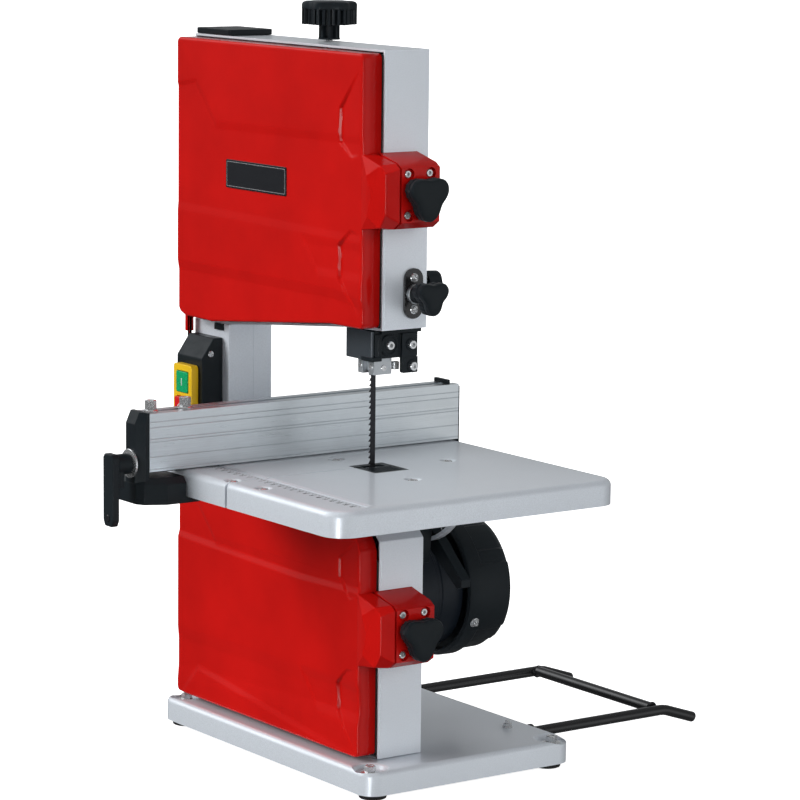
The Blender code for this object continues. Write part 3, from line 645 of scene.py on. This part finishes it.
def screws(name, body, heads):
    piece(name, joined(*heads), STEEL, body, angle=30)


def hand_knob(name, body, axis, centre, base, tip, radius, lobe, phase, neck, root):
    """A three-sided hand knob: smooth cap, rippled skirt and a round neck down to its root."""
    def tri(k, along, ripple=0):
        return three_sided(*centre, radius * k, lobe * k, radians(phase), ripple), along

    tall = tip - base
    cap = [tri(0.80, base - 1.2), tri(0.98, base, 0.35), tri(1, base + 0.42 * tall, 0.4)]
    cap += [tri(k, base + share * tall) for k, share in
            ((0.955, 0.5), (1, 0.56), (0.995, 0.8), (0.94, 0.93), (0.82, 0.985), (0.5, 1))]
    stem = turned(axis, *centre, [(neck * k, root + share * (base - root)) for k, share in
                                  ((1, 0), (1, 0.5), (0.86, 0.56), (0.95, 1))], 72)
    piece(name, joined(loft(axis, cap), stem), BLACK, body, body, angle=32)


# -------- latches and door details


def latch_section(z):
    return [(RIGHT_X + 0.3, z - 31), (-94, z - 28), (-85, z - 22), (-85, z + 25), (-91, z + 29),
            (RIGHT_X + 0.3, z + 36)]


def door_latch(side, z):
    """The door's half of the latch: a block whose front folds into four shallow facets."""
    front = [(-124, 108.2, 35.2), (-97.5, 109.6, 27), (-91, 110.6, 20.5), (-91, 110.6, -14.5),
             (-97.5, 109.6, -27), (-124, 108.2, -30.5), (-111.5, 104.6, 17.5), (-106.5, 106.6, 1),
             (-110.5, 104.6, -17.5)]
    back = [(-124, 35.9), (-91, 29), (-85, 25), (-85, -22), (-94, -28), (-124, -31)]
    solid = bmesh.new()
    f = [solid.verts.new((x, y, z + dz)) for x, y, dz in front]
    b = [solid.verts.new((x, 122.3, z + dz)) for x, dz in back]
    for face in ((0, 6, 1), (1, 6, 7), (1, 7, 2), (2, 7, 3), (3, 7, 4), (4, 7, 8), (4, 8, 5),
                 (5, 8, 7, 6, 0)):
        solid.faces.new([f[i] for i in face])
    for i in range(6):
        j = (i + 1) % 6
        solid.faces.new((f[i], f[j], b[j], b[i]))
    solid.faces.new(list(reversed(b)))
    piece(side + "_door_latch", solid, RED, side + "_door", bevel=0.9, segments=3, angle=8)


def build_latches():
    for side, z in (("upper", UPPER_LATCH_Z), ("lower", LOWER_LATCH_Z)):
        keeper = prism("y", latch_section(z), 123.6, 164)
        places = [(131.5, z + 19.8), (154.5, z + 20), (131.5, z - 15.8), (154.5, z - 15.8)]
        bores = [prism("x", circle(y, h, 5.2, 28), -89.2, -80) for y, h in places]
        neck = prism("x", circle(LATCH_KNOB_Y, z, 6, 24), -120, -80)
        piece(side + "_latch_body", cut(keeper, neck, *bores), RED, "frame", side + "_latch_keeper",
              bevel=0.8, segments=3, angle=25)
        screws(side + "_latch_screws", "frame", [socket_screw((-89.2, y, h), RIGHT, 3.2, 2.6)
                                                 for y, h in places])
        hand_knob(side + "_latch_handle", side + "_latch_knob", "x", (LATCH_KNOB_Y, z + 1), -80.6, -68.4,
                  18.2, 3.5, -90, 10.5, -84.7)
        door_latch(side, z)


def build_door_fittings():
    plate = prism("y", rectangle(-339.5, -240.5, 237.5, 263.5, 1.6), 107.7, 109.4)
    piece("name_plate", plate, GLOSS_BLACK, "upper_door", bevel=0.3)
    border = cut(prism("y", rectangle(-337.9, -242.1, 239.1, 261.9, 1.2), 107.55, 108.2),
                 prism("y", rectangle(-337.3, -242.7, 239.7, 261.3, 1), 107, 109))
    piece("name_plate_border", border, STEEL, "upper_door")
    for side, spans in (("upper", ((94, 140), (340, 364))), ("lower", ((-242, -218), (-86, -62)))):
        knuckles = []
        for low, high in spans:
            knuckles.append(turned("z", HINGE_X, HINGE_Y, [(4, low), (4, high), (2, high), (2, low)], 32,
                                   closed=True))
            # The webs stop at the same height between the doors; the lower door's run up to it.
            knuckles.append(block((HINGE_X + 3, -421), (HINGE_Y - 4, HINGE_Y - 1), (max(low, WEB_Z), high)))
        piece(side + "_door_knuckles", joined(*knuckles), RED, side + "_door", bevel=0.4)
    for side, low, high, z in (("upper", 136, 364, UPPER_WHEEL_Z), ("lower", -246, -66, LOWER_WHEEL_Z)):
        ribs = [block((x - 0.9, x + 0.9), RIB_Y, (low, high)) for x in (-390, -330, -210, -162)]
        ribs += [block((-420, -128), RIB_Y, (h - 0.9, h + 0.9)) for h in (z - 46, z + 46)]
        piece(side + "_door_ribs", joined(*ribs), RED, side + "_door", bevel=0.2)


# -------- frame


def build_base():
    x0, x1, y0, y1 = -429.8, -84.5, 94.3, 323
    top, low = -256, -277.7
    pan = block((x0, x1), (y0, y1), (low, top), 16, 8)
    rounded(pan, 5, 8, 60, lambda a, b: a.z > top - 0.1 and b.z > top - 0.1)
    hollow = block((x0 + 2.5, x1 - 2.5), (y0 + 2.5, y1 - 2.5), (low - 1, top - 3.6), 13.5, 8)
    places = [(x0 + 14.5, y0 + 19.5), (x1 - 18.5, y0 + 15), (x0 + 16, y1 - 16), (x1 - 14, y1 - 14.5)]
    hollow = cut(hollow, *(prism("z", circle(x, y, 19, 40), low - 2, top) for x, y in places))
    profile = [(12.6, top - 4.6), (13.4, top - 4.2), (14.2, top - 2.4), (15.2, top - 1), (16.2, top - 0.35),
               (17.2, top + 0.1), (17.2, top + 2)]
    dishes = [turned("z", x, y, profile, 48) for x, y in places]
    tubes = [prism("y", circle(x, SUPPORT_Z, 5.8, 20), y1 - 6, y1 + 2) for _, x in SUPPORTS]
    piece("base_pan", cut(pan, hollow, *dishes, *tubes), SILVER, "frame", "base_plate", bevel=0.3,
          angle=12.5)
    bolts = [flange_bolt((x, y, top - 4.6), UP, 5.2, 6.6, 8.6) for x, y in places]
    bolts += [flange_bolt((-150, 297, top), UP, 3.9, 4.4, 4.8),
              turned("z", -150, 297, [(2.1, top), (2.1, top + 6.2), (1.6, top + 6.8)], 20)]
    screws("base_bolts", "frame", bolts)
    profile = [(5.3, y1 + 0.2), (8, y1 + 0.2), (8, y1 + 2.4), (7, y1 + 3.4), (5.3, y1 + 3.4)]
    for side, x in SUPPORTS:
        collar = turned("y", x, SUPPORT_Z, profile, 32, closed=True)
        piece("support_grommet_" + side, collar, RUBBER, "frame", angle=30)
    profile = [(10.6, FLOOR_Z), (12.1, FLOOR_Z + 0.6), (12.5, FLOOR_Z + 1.6), (12.5, low - 1.4),
               (12.1, low - 0.8), (12.1, low + 0.2)]
    for end, y in (("front", y0 + 17), ("rear", y1 - 17)):
        for side, x in (("left", x0 + 17), ("right", x1 - 17)):
            corner = end + "_" + side
            piece("rubber_foot_" + corner, turned("z", x, y, profile), RUBBER, "frame", "foot_" + corner,
                  angle=30)


def pipe(route, radius, count=20):
    """A round bar along a route of close points."""
    rings = []
    points = [Vector(p) for p in route]
    for i, here in enumerate(points):
        along = (points[min(i + 1, len(points) - 1)] - points[max(i - 1, 0)]).normalized()
        side = Vector(RIGHT) if abs(along.x) < 0.7 else Vector(BACK)
        across = along.cross(side).normalized()
        side = across.cross(along).normalized()
        rings.append([here + side * u + across * v for u, v in ring(radius, count)])
    return skin(rings)


def build_rear_support():
    for side, x in SUPPORTS:
        route = [(x, 262, SUPPORT_Z), (x, 470, SUPPORT_Z)]
        for i in range(9):
            turn = radians(21.5) * i / 8
            route.append((x, 479 + 34 * sin(turn), SUPPORT_Z - 34 * (1 - cos(turn))))
        route += [(x, 519.6, -276.4), (x, 521.4, -277.1)]
        bar = pipe(route, 5)
        rounded(bar, 1.2, 3, 50)
        piece("support_bar_" + side, bar, BLACK_STEEL, "frame", "rear_support_" + side, angle=40)
    bar = prism("x", circle(475, -263, 5, 28), -334.6, -155.4)
    weld = [turned("x", 475, -263.4, [(5.4, x - w), (6.3, x), (5.4, x + w)], 28) for x, w in
            ((-333.6, 1.4), (-156.4, 1.4))]
    piece("support_crossbar", joined(bar, *weld), BLACK_STEEL, "frame", "rear_support_crossbar", angle=40)


def build_housings():
    heads = [socket_screw((-127.9, 165.5, -56.4), (1, 0, 1), 3, 1.5)]
    for x, z in ((-410, 352), (-140, 352), (-410, 140), (-300, 140), (-410, -52), (-140, -80), (-410, -236),
                 (-140, -236)):
        heads.append(cross_screw((x, BACK_Y, z), BACK, 3.4, 1.6))
    for x, z in ((-340, -85), (-199, -85), (-340, -195), (-199, -195)):
        heads.append(flange_bolt((x, BACK_Y, z), BACK, 3.6, 4.6, 5.6))
    screws("housing_screws", "frame", heads)
    for side, low, high in (("upper", 131.4, 369.6), ("lower", -251.4, -75)):
        # A rubber seal strip along the door's edge; its dark also stands in for painted shade in the gap
        # between door and housing.
        seal_and_gap_shade = block((-123.6, -121.5), (127.9, 132), (low, high), 0.4)
        piece(side + "_door_seal_and_gap_shade", seal_and_gap_shade, RUBBER, "frame")
        bead = block((RIGHT_X - 0.6, RIGHT_X + 0.35), (131, 133.2), (low, high))
        piece(side + "_housing_bead", bead, SILVER, "frame", bevel=0.3, segments=3)
    piece("column_seam", block((-366.55, -366.2), (156.2, 157), (-32, 106)), SILVER, "frame")
    piece("column_slot", block((-389, -375), (128.4, 129.1), (99.5, 105.5), 2), BLACK, "frame")


# -------- table


MARK_Z = (-0.05, 0.09)
DIGITS = ("abcdef", "bc", "abged", "abgcd", "fgbc", "afgcd", "afgedc", "abc", "abcdefg", "abcdfg")
# Strokes of the digits, as on a seven-stroke display: near and far corner.
STROKES = {"a": (0, 3.2, 1.6, 3.8), "b": (1.2, 1.6, 1.8, 3.8), "c": (1.2, 0, 1.8, 2), "d": (0, 0, 1.6, 0.6),
           "e": (0, 0, 0.6, 2), "f": (0, 1.6, 0.6, 3.8), "g": (0, 1.6, 1.6, 2.2)}


def numeral(number, x, y):
    """The strokes of a centimetre number centred on x, standing on y."""
    digits = [int(d) for d in str(number)]
    strokes = []
    for place, digit in enumerate(digits):
        left = x - 1.25 * len(digits) + 2.5 * place + 0.35
        for key in DIGITS[digit]:
            u0, v0, u1, v1 = STROKES[key]
            strokes.append(block((left + u0, left + u1), (y + v0, y + v1), MARK_Z))
    return strokes


def build_table():
    x0, x1, y0, y1 = -300, 0, 0, 303
    top = block((x0, x1), (y0, y1), (-22.6, 0), 21, 12)
    rounded(top, 6, 8, 60, lambda a, b: a.z > -0.1 and b.z > -0.1)
    hollow = block((x0 + 3, x1 - 3), (y0 + 3, y1 - 3), (-24, -5.4), 18, 12)
    seat = block((-180.5, -137), (136, 173.5), (-2.4, 1), 2)
    well = block((-176.5, -141), (140, 169.5), (-8, 1))
    slot = block((-170.4, -168.6), (-2, 137), (-30, 2))
    gate = block((-171.1, -167.9), (-2, 5), (-30, -2.2))
    scale = block((-296, -10), (34.6, 42), (-1.3, 1), 3.6, 6)
    slope = prism("x", [(41, -1.3), (46, 0.05), (46, 1), (41, 1)], -296, -13)
    places = [(-174.5, 10.5), (-129.7, 12.9), (-214.6, 147), (-96.3, 147.2), (-157.4, 229.5)]
    sinks = [turned("z", x, y, [(3.6, -3), (5.4, -2.4), (7.4, -0.4), (8.4, 0.1), (8.4, 1)], 36)
             for x, y in places]
    body = cut(top, hollow, seat, well, slot, gate, scale, slope, *sinks)
    piece("table_plate", body, SILVER, "table", "table", bevel=0.25, angle=12.5)
    screws("table_screws", "table", [cross_screw((x, y, -2.3), UP, 4.9, 2.2) for x, y in places])
    # A black block behind the slot's gate. It stands for the slot's bridge, and its dark is painted shade,
    # so the slot reads as a dark gap into the table's hollow.
    bridge_and_slot_shade = block((-177, -162), (3.1, 8), (-21.5, -5.6), 0.8)
    piece("table_slot_bridge_and_shade", bridge_and_slot_shade, BLACK, "table", bevel=0.4)
    marks = []
    for i in range(-15, 32):
        x = BLADE_X + 5 * i
        marks.append(block((x - 0.4, x + 0.4), (32.8 if i % 2 else 31.6, 34.4), MARK_Z))
        if i % 2 == 0 and i != 0:
            marks += numeral(abs(i) // 2, x, 27)
    piece("table_scale_marks", joined(*marks), BLACK, "table")
    insert = block((-180.1, -137.4), (136.4, 173.1), (-2.2, -0.15), 1.8)
    ways = [block((-173.5, -163.5), (143, 166), (-4, 2), 3, 3), block((-171.2, -167.8), (130, 146), (-4, 2))]
    ribs = [block((-160.5 + 4 * i, -158.6 + 4 * i), (141, 168.5), (-0.9, 0.5)) for i in range(5)]
    piece("table_insert_plate", cut(insert, *ways, *ribs), BLACK, "table", "table_insert", bevel=0.2)
    marks = []
    for i in range(19):
        turn = radians(-112 + 2.5 * i)
        r0, r1 = 70.6, 72.6 if i % 2 == 0 else 71.8
        ends = [(BLADE_X + r * cos(turn + d), r * sin(turn + d)) for r, d in
                ((r0, -0.003), (r1, -0.003), (r1, 0.003), (r0, 0.003))]
        marks.append(prism("y", ends, 210.95, 211.1))
    piece("tilt_scale_marks", joined(*marks), BLACK, "table")
    heads = [washer((BLADE_X, 226, -65.5), BACK, 3, 7, 0.8),
             flange_bolt((BLADE_X, 226.6, -65.5), BACK, 3.8, 4.6, 4.4)]
    screws("tilt_lever_bolt", "tilt_lock_lever", heads)


# -------- fence


def build_fence():
    x0, x1, z0, z1 = -266, -241, 1, 53
    outline = [(x0, z0), (x1, z0)]
    for z in (3.4, 14.4, 27.6, 30.2, 40.4, 45.4):
        outline += [(x1, z - 0.34), (x1 - 0.35, z - 0.2), (x1 - 0.35, z + 0.2), (x1, z + 0.34)]
    outline += [(x1, z1), (-250.4, z1), (-250.4, z1 - 2.2), (-256.6, z1 - 2.2), (-256.6, z1), (x0, z1)]
    hollow = prism("y", rectangle(x0 + 2.4, x1 - 3, z0 + 2.4, z1 - 5), -40, 310)
    piece("fence_extrusion", cut(prism("y", outline, -33.7, 303), hollow), ALUMINIUM, "fence",
          "fence_profile", bevel=0.12, angle=30)
    screws("fence_bolts", "fence", [flange_bolt((-253.5, y, 53), UP, 5.2, 10.2, 6.8) for y in (-25, 10.7)])
    stations = []
    for z, front in ((-9.3, -44.5), (43.5, -44.5), (54, -39.8)):
        side = min(-36, front + 6.5)
        stations.append(([(x0 - 0.6, -34.1), (x0 - 0.6, front + 3), (x0 + 2.4, front), (x1 - 7.5, front),
                          (x1 + 0.6, side), (x1 + 0.6, -34.1)], z))
    head = loft("z", stations)
    low = [(-276, -2.5), (-276, -44.5), (-247, -44.5), (-239, -40), (-230, -22), (-230, -2.5)]
    high = [(-271.5, -2.5), (-271.5, -40.4), (-248.8, -40.4), (-242.6, -36.8), (-234.8, -21), (-234.8, -2.5)]
    foot = loft("z", [(low, -27.5), (low, -9.4), (high, -4)])
    lip = block((-276, -230), (-4, 12), (-27.5, -23.2), 1.5)
    piece("fence_clamp_body", joined(head, foot, lip), BLACK, "fence", "fence_clamp", bevel=0.7, segments=3,
          angle=20)
    bar = block((-265.2, -242.9), (291, 295), (53.2, 57.2), 1.9)
    back = block((x0 + 1, x1 - 1), (303.4, 305.2), (-26, 51), 0.8)
    hook = block((x0, x1), (296, 305.2), (-27, -23.2), 0.8)
    piece("fence_clip", joined(bar, back, hook), BLACK, "fence", "fence_rear_clip", bevel=0.6, segments=3,
          angle=30)
    x, z = -256, 8
    screws("fence_lever_washer", "fence", [washer((x, -44.5, z), FRONT, 4, 13, 1.8)])
    hub = turned("y", x, z, [(9.2, -46.6), (9.2, -60), (8, -62)])
    half = [(6.2, z + 10.2), (8.6, z + 7), (8.4, z - 49), (5.6, z - 54.4)]
    arm = [(x - across, up) for across, up in half] + [(x + across, up) for across, up in reversed(half)]
    arm = prism("y", arm, -67.4, -60.4)
    web = prism("y", [(x - 6, z - 20), (x + 6, z - 20), (x + 7.4, z), (x - 7.4, z)], -61, -54)
    piece("fence_handle", joined(hub, arm, web), BLACK, "fence_lever", "fence_lever", bevel=1.3, segments=4,
          angle=25)
    cap = turned("y", x, z - 47, [(3.2, -67.3), (3.2, -67.8), (2.7, -68.1)], 28)
    piece("fence_handle_cap", cap, GLOSS_BLACK, "fence_lever", angle=30)
    pad = block((-265, -242), (-32, 40), (0.2, 1), 1)
    piece("fence_slide_pad", pad, BLACK, "fence", bevel=0.2)


# -------- blade and guide


def loop_point(s, radius):
    """A point of the band's loop, at a distance round it and a radius on the wheels."""
    run = UPPER_WHEEL_Z - LOWER_WHEEL_Z
    arc = pi * BAND_RADIUS
    s = s % (2 * (run + arc))
    if s < run:
        return WHEEL_X + radius, UPPER_WHEEL_Z - s
    s -= run
    if s < arc:
        turn = -s / BAND_RADIUS
        return WHEEL_X + radius * cos(turn), LOWER_WHEEL_Z + radius * sin(turn)
    s -= arc
    if s < run:
        return WHEEL_X - radius, LOWER_WHEEL_Z + s
    turn = pi - (s - run) / BAND_RADIUS
    return WHEEL_X + radius * cos(turn), UPPER_WHEEL_Z + radius * sin(turn)


def build_blade():
    """The toothed band: hooked teeth about five millimetres apart, their tips set left and right."""
    teeth = 283
    pitch = 2 * (UPPER_WHEEL_Z - LOWER_WHEEL_Z + pi * BAND_RADIUS) / teeth
    front, back = 150.5, 157.5
    inside, outside = BAND_RADIUS - 0.3, BAND_RADIUS + 0.3
    rows = []
    for tooth in range(teeth):
        lean = 0.22 * (-1, 1, 0)[tooth % 3]
        for share, depth, bent in ((0, 1.9, 0), (0.3, 2, 0), (0.55, 1.4, 0.3 * lean), (0.92, 0, lean),
                                   (0.97, 0.05, lean)):
            row = []
            for y, radius in ((front + depth, inside + bent), (back, inside), (back, outside),
                              (front + depth, outside + bent)):
                x, z = loop_point((tooth + share) * pitch, radius)
                row.append((x, y, z))
            rows.append(row)
    piece("blade_band", skin(rows, closed=True), BLADE_STEEL, "frame", "saw_blade", angle=25)


def build_guide():
    guard = block((-188.9, -150), (138.9, 142.3), (98, 124.2))
    rounded(guard, 1.5, 4, 60, lambda a, b: abs(a.z - b.z) > 5 and a.x > -151)
    piece("guide_guard", guard, SLATE, "blade_guide", "blade_guard", bevel=0.35)
    sill = block((-166, -147.9), (138.2, 150), (97.4, 101.2), 2)
    rib = prism("z", [(-152, 143), (-147.9, 146.4), (-152, 150)], 101, 118)
    side = block((-153, -149.2), (142.3, 150), (99.4, 121.5))
    piece("guide_guard_side", joined(sill, rib, side), BLACK, "blade_guide", bevel=0.5)
    boss = turned("x", 158.6, 110.9, [(9.6, -151.2), (9.6, -149.6), (9, -149.2), (7.6, -149.2),
                                      (7.4, -150.2)])
    pads = [turned("x", 180.6, 110.5, [(5.6, -148), (5.6, -147), (5.2, -146.7)], 32),
            turned("x", 182.2, 91, [(5.9, -148), (5.9, -147), (5.5, -146.7)], 32)]
    lower = block((-152, -147.6), (172.4, 188), (85.2, 99.4))
    flange = block((-184, -147.9), (149, 192.4), (121.4, 124.4), 1.5)
    piece("guide_bosses", joined(boss, lower, flange, *pads), BLACK, "blade_guide", bevel=0.5)
    heads = [socket_screw(*screw) for screw in
             (((-150.2, 158.6, 110.9), RIGHT, 3.7, 3.4), ((-146.8, 180.6, 110.5), RIGHT, 3.7, 2.9),
              ((-146.8, 182.2, 91), RIGHT, 3.9, 2.4), ((-156.6, 157.2, 89.8), RIGHT, 2.9, 0.6),
              ((-161.4, 146.6, 91), FRONT, 2.9, 0.6), ((-178, 146.6, 91), FRONT, 2.9, 0.6))]
    screws("guide_screws", "blade_guide", heads)
    holder = block((-158.5, -153.5), (166.6, 172), (88, 95.2))
    piece("guide_bearing_holder", holder, STEEL, "blade_guide", bevel=0.5)


def build_guide_knobs():
    plate = prism("x", rectangle(151.2, 170.8, 138.2, 182.8, 9.7, 10), RIGHT_X + 0.3, -117)
    plate = cut(plate, prism("x", circle(*GUIDE_KNOB, 5), -121, -110))
    piece("guide_knob_cover", plate, BLACK_STEEL, "frame", "guide_knob_plate", bevel=0.7, segments=3)
    heads = [cross_screw((-117.1, 161, z), RIGHT, 4.2, 1.7) for z in (174.4, 146.6)]
    screws("guide_knob_cover_screws", "frame", heads)
    bush = turned("x", *GUIDE_KNOB, [(8.9, -116.4), (8.9, -112.6), (8.2, -112)])
    piece("guide_knob_bush", bush, CAST_ALUMINIUM, "guide_height_knob", angle=30)
    hand_knob("guide_height_handle", "guide_height_knob", "x", GUIDE_KNOB, -98.6, -84.4, 13.8, 3.1, -90, 8.4,
              -112.4)
    rod = turned("x", *GUIDE_KNOB, [(4, -160), (4, -112)], 28)
    gear = prism("x", gear_outline(*GUIDE_KNOB, 5.9, 4.7, 12), -159.5, -149)
    piece("guide_pinion", joined(rod, gear), STEEL, "guide_height_knob", angle=30)
    centre = (-136, 162)
    shell = [(three_sided(*centre, 12 * k, 2.8 * k, pi / 2), y) for k, y in
             ((0.80, 197.6), (0.84, 187.4), (1, 187), (1.03, 190), (1, 198.5), (0.92, 200.6), (0.6, 201.2))]
    core = turned("y", *centre, [(6.6, 177), (6.6, 196)], 32)
    fin = ((5, -0.7), (11.2, -0.7), (11.2, 0.7), (5, 0.7))
    fins = [prism("y", spoke(*centre, 60 * i + 30, fin), 188.4, 197.8) for i in range(6)]
    piece("guide_lock_handle", joined(loft("y", shell), core, *fins), BLACK, "guide_lock_knob",
          "guide_lock_knob", angle=32)
    hand_knob("tracking_handle", "tracking_knob", "y", (WHEEL_X, 226), 185.4, 200.4, 16.2, 3.6, 90, 7.4, 177)


# -------- knobs, wheels, motor and switch


def build_tension():
    cx, cy = -260, 166.5
    cap = loft("z", [(circle(cx, cy, 23 * k, 96, 6, lobe), z) for k, lobe, z in
                     ((0.93, 1.6, 401.6), (1, 2, 402.6), (1, 2, 406.4), (0.96, 1.9, 408.3),
                      (0.86, 1.6, 409.3), (0.5, 0.6, 409.5))])
    ribs = []
    for turn in range(0, 360, 12):
        reach = 22.4 + 2 * cos(radians(6 * turn))
        rib = ((15, -1.3), (reach, -1.3), (reach + 0.5, 0), (reach, 1.3), (15, 1.3))
        ribs.append(prism("z", spoke(cx, cy, turn, rib), 388.4, 402.4))
    rib = ((2.5, -1.1), (9.4, -1.1), (9.4, 1.1), (2.5, 1.1))
    ribs += [prism("z", spoke(cx, cy, turn, rib), 375.2, 389.5) for turn in range(10, 370, 45)]
    core = [turned("z", cx, cy, [(radius, low), (radius, high)], count) for radius, low, high, count in
            ((17.5, 389.6, 402, 40), (6, 375.2, 390, 32), (9.8, 374.9, 376.4, 32))]
    piece("tension_handle", joined(cap, *ribs, *core), BLACK, "tension_knob", "tension_knob", angle=32)


def build_wheels():
    y, half, web = BLADE_Y, 8, 2.5
    profile = [(6.4, y - half), (16, y - half), (17, y - half + 1), (18, y - web), (87, y - web),
               (90, y - half + 0.6), (91, y - half), (96.8, y - half), (97.6, y - half + 0.8),
               (97.6, y + half - 0.8), (96.8, y + half), (91, y + half), (87, y + web), (18, y + web),
               (16, y + half), (6.4, y + half)]
    for side, z in (("upper", UPPER_WHEEL_Z), ("lower", LOWER_WHEEL_Z)):
        holes = []
        for turn in range(18, 378, 72):
            cu, cv = WHEEL_X + 53 * cos(radians(turn)), z + 53 * sin(radians(turn))
            holes.append(prism("y", circle(cu, cv, 19, 36), y - 10, y + 10))
        casting = cut(turned("y", WHEEL_X, z, profile, 72, closed=True), *holes)
        piece(side + "_wheel_casting", casting, CAST_ALUMINIUM, side + "_wheel", side + "_wheel", bevel=0.6,
              angle=40)
        screws(side + "_wheel_nut", side + "_wheel", [flange_bolt((WHEEL_X, 142, z), FRONT, 6.4, 7, 9)])


# Where the fan cover's radius steps: from an angle on, in degrees, and the radius there.
COVER_STEPS = ((-180, 65.2), (-140, 69.6), (-100, 64.6), (-74.4, 66.2), (-49.6, 67.9), (-33.2, 69.6),
               (24, 67.9), (36, 66.2), (62, 64.6), (100, 69.6), (150, 67.4), (180, 65.2))


def stepped_radius(turn):
    """The fan cover's radius round its axis, which drops in steps away from its right side."""
    turn = (turn + 180) % 360 - 180
    return [radius for start, radius in COVER_STEPS if start <= turn][-1]


def build_motor():
    x, z = WHEEL_X, LOWER_WHEEL_Z
    profile = [(8, 176.9), (47, 176.9), (50, 178), (58, 188), (58, 262), (57, 263), (57, 266), (58, 267),
               (58, 289), (8, 289)]
    piece("motor_case", turned("y", x, z, profile, 96, closed=True), MOTOR_BLACK, "frame", "motor_housing",
          angle=30)

    def stepped(less):
        return polar(180, lambda turn: stepped_radius(round(degrees(turn))) - less, x, z)

    stations = [(circle(x, z, radius, 180), y) for radius, y in
                ((58.3, 301), (63, 300.6), (63.2, 290.6), (64.8, 290), (68.2, 291), (69.2, 293.2),
                 (69.5, 305))]
    stations += [(stepped(0), 307.4), (stepped(0.3), 332), (stepped(3), 338.5)]
    stations += [(circle(x, z, 59, 180), 343), (circle(x, z, 54, 180), 344.4)]
    ridge = ((20, -1.4), (54, -2.6), (54, 2.6), (20, 1.4))
    ridges = [prism("y", spoke(x, z, turn, ridge), 343.6, 345.6) for turn in range(0, 360, 18)]
    ridges.append(turned("y", x, z, [(56, 343.6), (56, 345.6), (53, 345.6), (53, 343.6)], 64, closed=True))
    ridges.append(turned("y", x, z, [(20, 343.6), (20, 345.6), (18, 346)]))
    piece("motor_cover", joined(loft("y", stations), *ridges), BLACK, "frame", "fan_cover", bevel=0.35,
          angle=32)
    heads = []
    for turn in (-23.4, 66.6, 156.6, 246.6):
        out = Vector((cos(radians(turn)), 0, sin(radians(turn))))
        centre = Vector((x, 299, z)) + out * 69.3
        heads += [washer(centre, out, 2.4, 4.8, 0.9), flange_bolt(centre + out * 0.5, out, 2.6, 3.4, 3.2)]
    screws("motor_cover_screws", "frame", heads)


def build_switch():
    mark = block((-398.9, -398.1), (96.7, 97.4), (47, 54))
    piece("start_mark", mark, WHITE, "start_button")
    mark = turned("y", -398.5, 26.5, [(3.6, 94.7), (3.6, 95.5), (2.8, 95.5), (2.8, 94.7)], 32, closed=True)
    piece("stop_mark", mark, WHITE, "stop_button")
    heads = [cross_screw((-376.5, 115.5, z), RIGHT, 3, 1.2) for z in (78, -8)]
    screws("switch_screws", "frame", heads)


# The nodes that keep their CAD shape: material, edge width, segments, angle and names.
DRESSED = (
    (SILVER, 1.6, 3, 30, ("upper_housing", "lower_housing")),
    (SILVER, 1.4, 3, 30, ("column",)),
    (SILVER, 0.5, 2, 40, ("table_trunnion",)),
    (BLACK, 1.6, 3, 30, ("column_cap",)),
    (BLACK, 1.4, 3, 30, ("tilt_lock_lever", "switch_box")),
    (BLACK, 0.8, 2, 35, ("trunnion_bracket",)),
    (BLACK, 0.7, 2, 35, ("guide_block",)),
    (BLACK, 0.5, 2, 35, ("cable_gland",)),
    (BLACK, 0.3, 2, 35, ("cooling_fan",)),
    (YELLOW, 0.9, 3, 30, ("switch_plate",)),
    (GREEN, 1.2, 3, 30, ("start_button",)),
    (STOP_RED, 1.2, 3, 30, ("stop_button",)),
    (ZINC, 0.5, 2, 35, ("guide_jaw_left", "guide_jaw_right")),
    (RUBBER, 0.4, 2, 35, ("upper_tyre", "lower_tyre")),
    (STEEL, 0.3, 2, 35, ("upper_hinge_rod", "lower_hinge_rod", "upper_axle", "motor_shaft", "tension_screw",
                           "guide_post", "thrust_bearing", "lower_guide")),
    (CAST_IRON, 0.8, 2, 35, ("wheel_carriage", "guide_post_sleeve")),
)


aim_camera()
light_studio()
lay_floor()
for build in (build_doors, build_latches, build_door_fittings, build_base, build_rear_support,
              build_housings, build_table, build_fence, build_blade, build_guide, build_guide_knobs,
              build_tension, build_wheels, build_motor, build_switch):
    build()
for material, width, segments, angle, nodes in DRESSED:
    for node in nodes:
        dress(node, material, width, segments, angle)
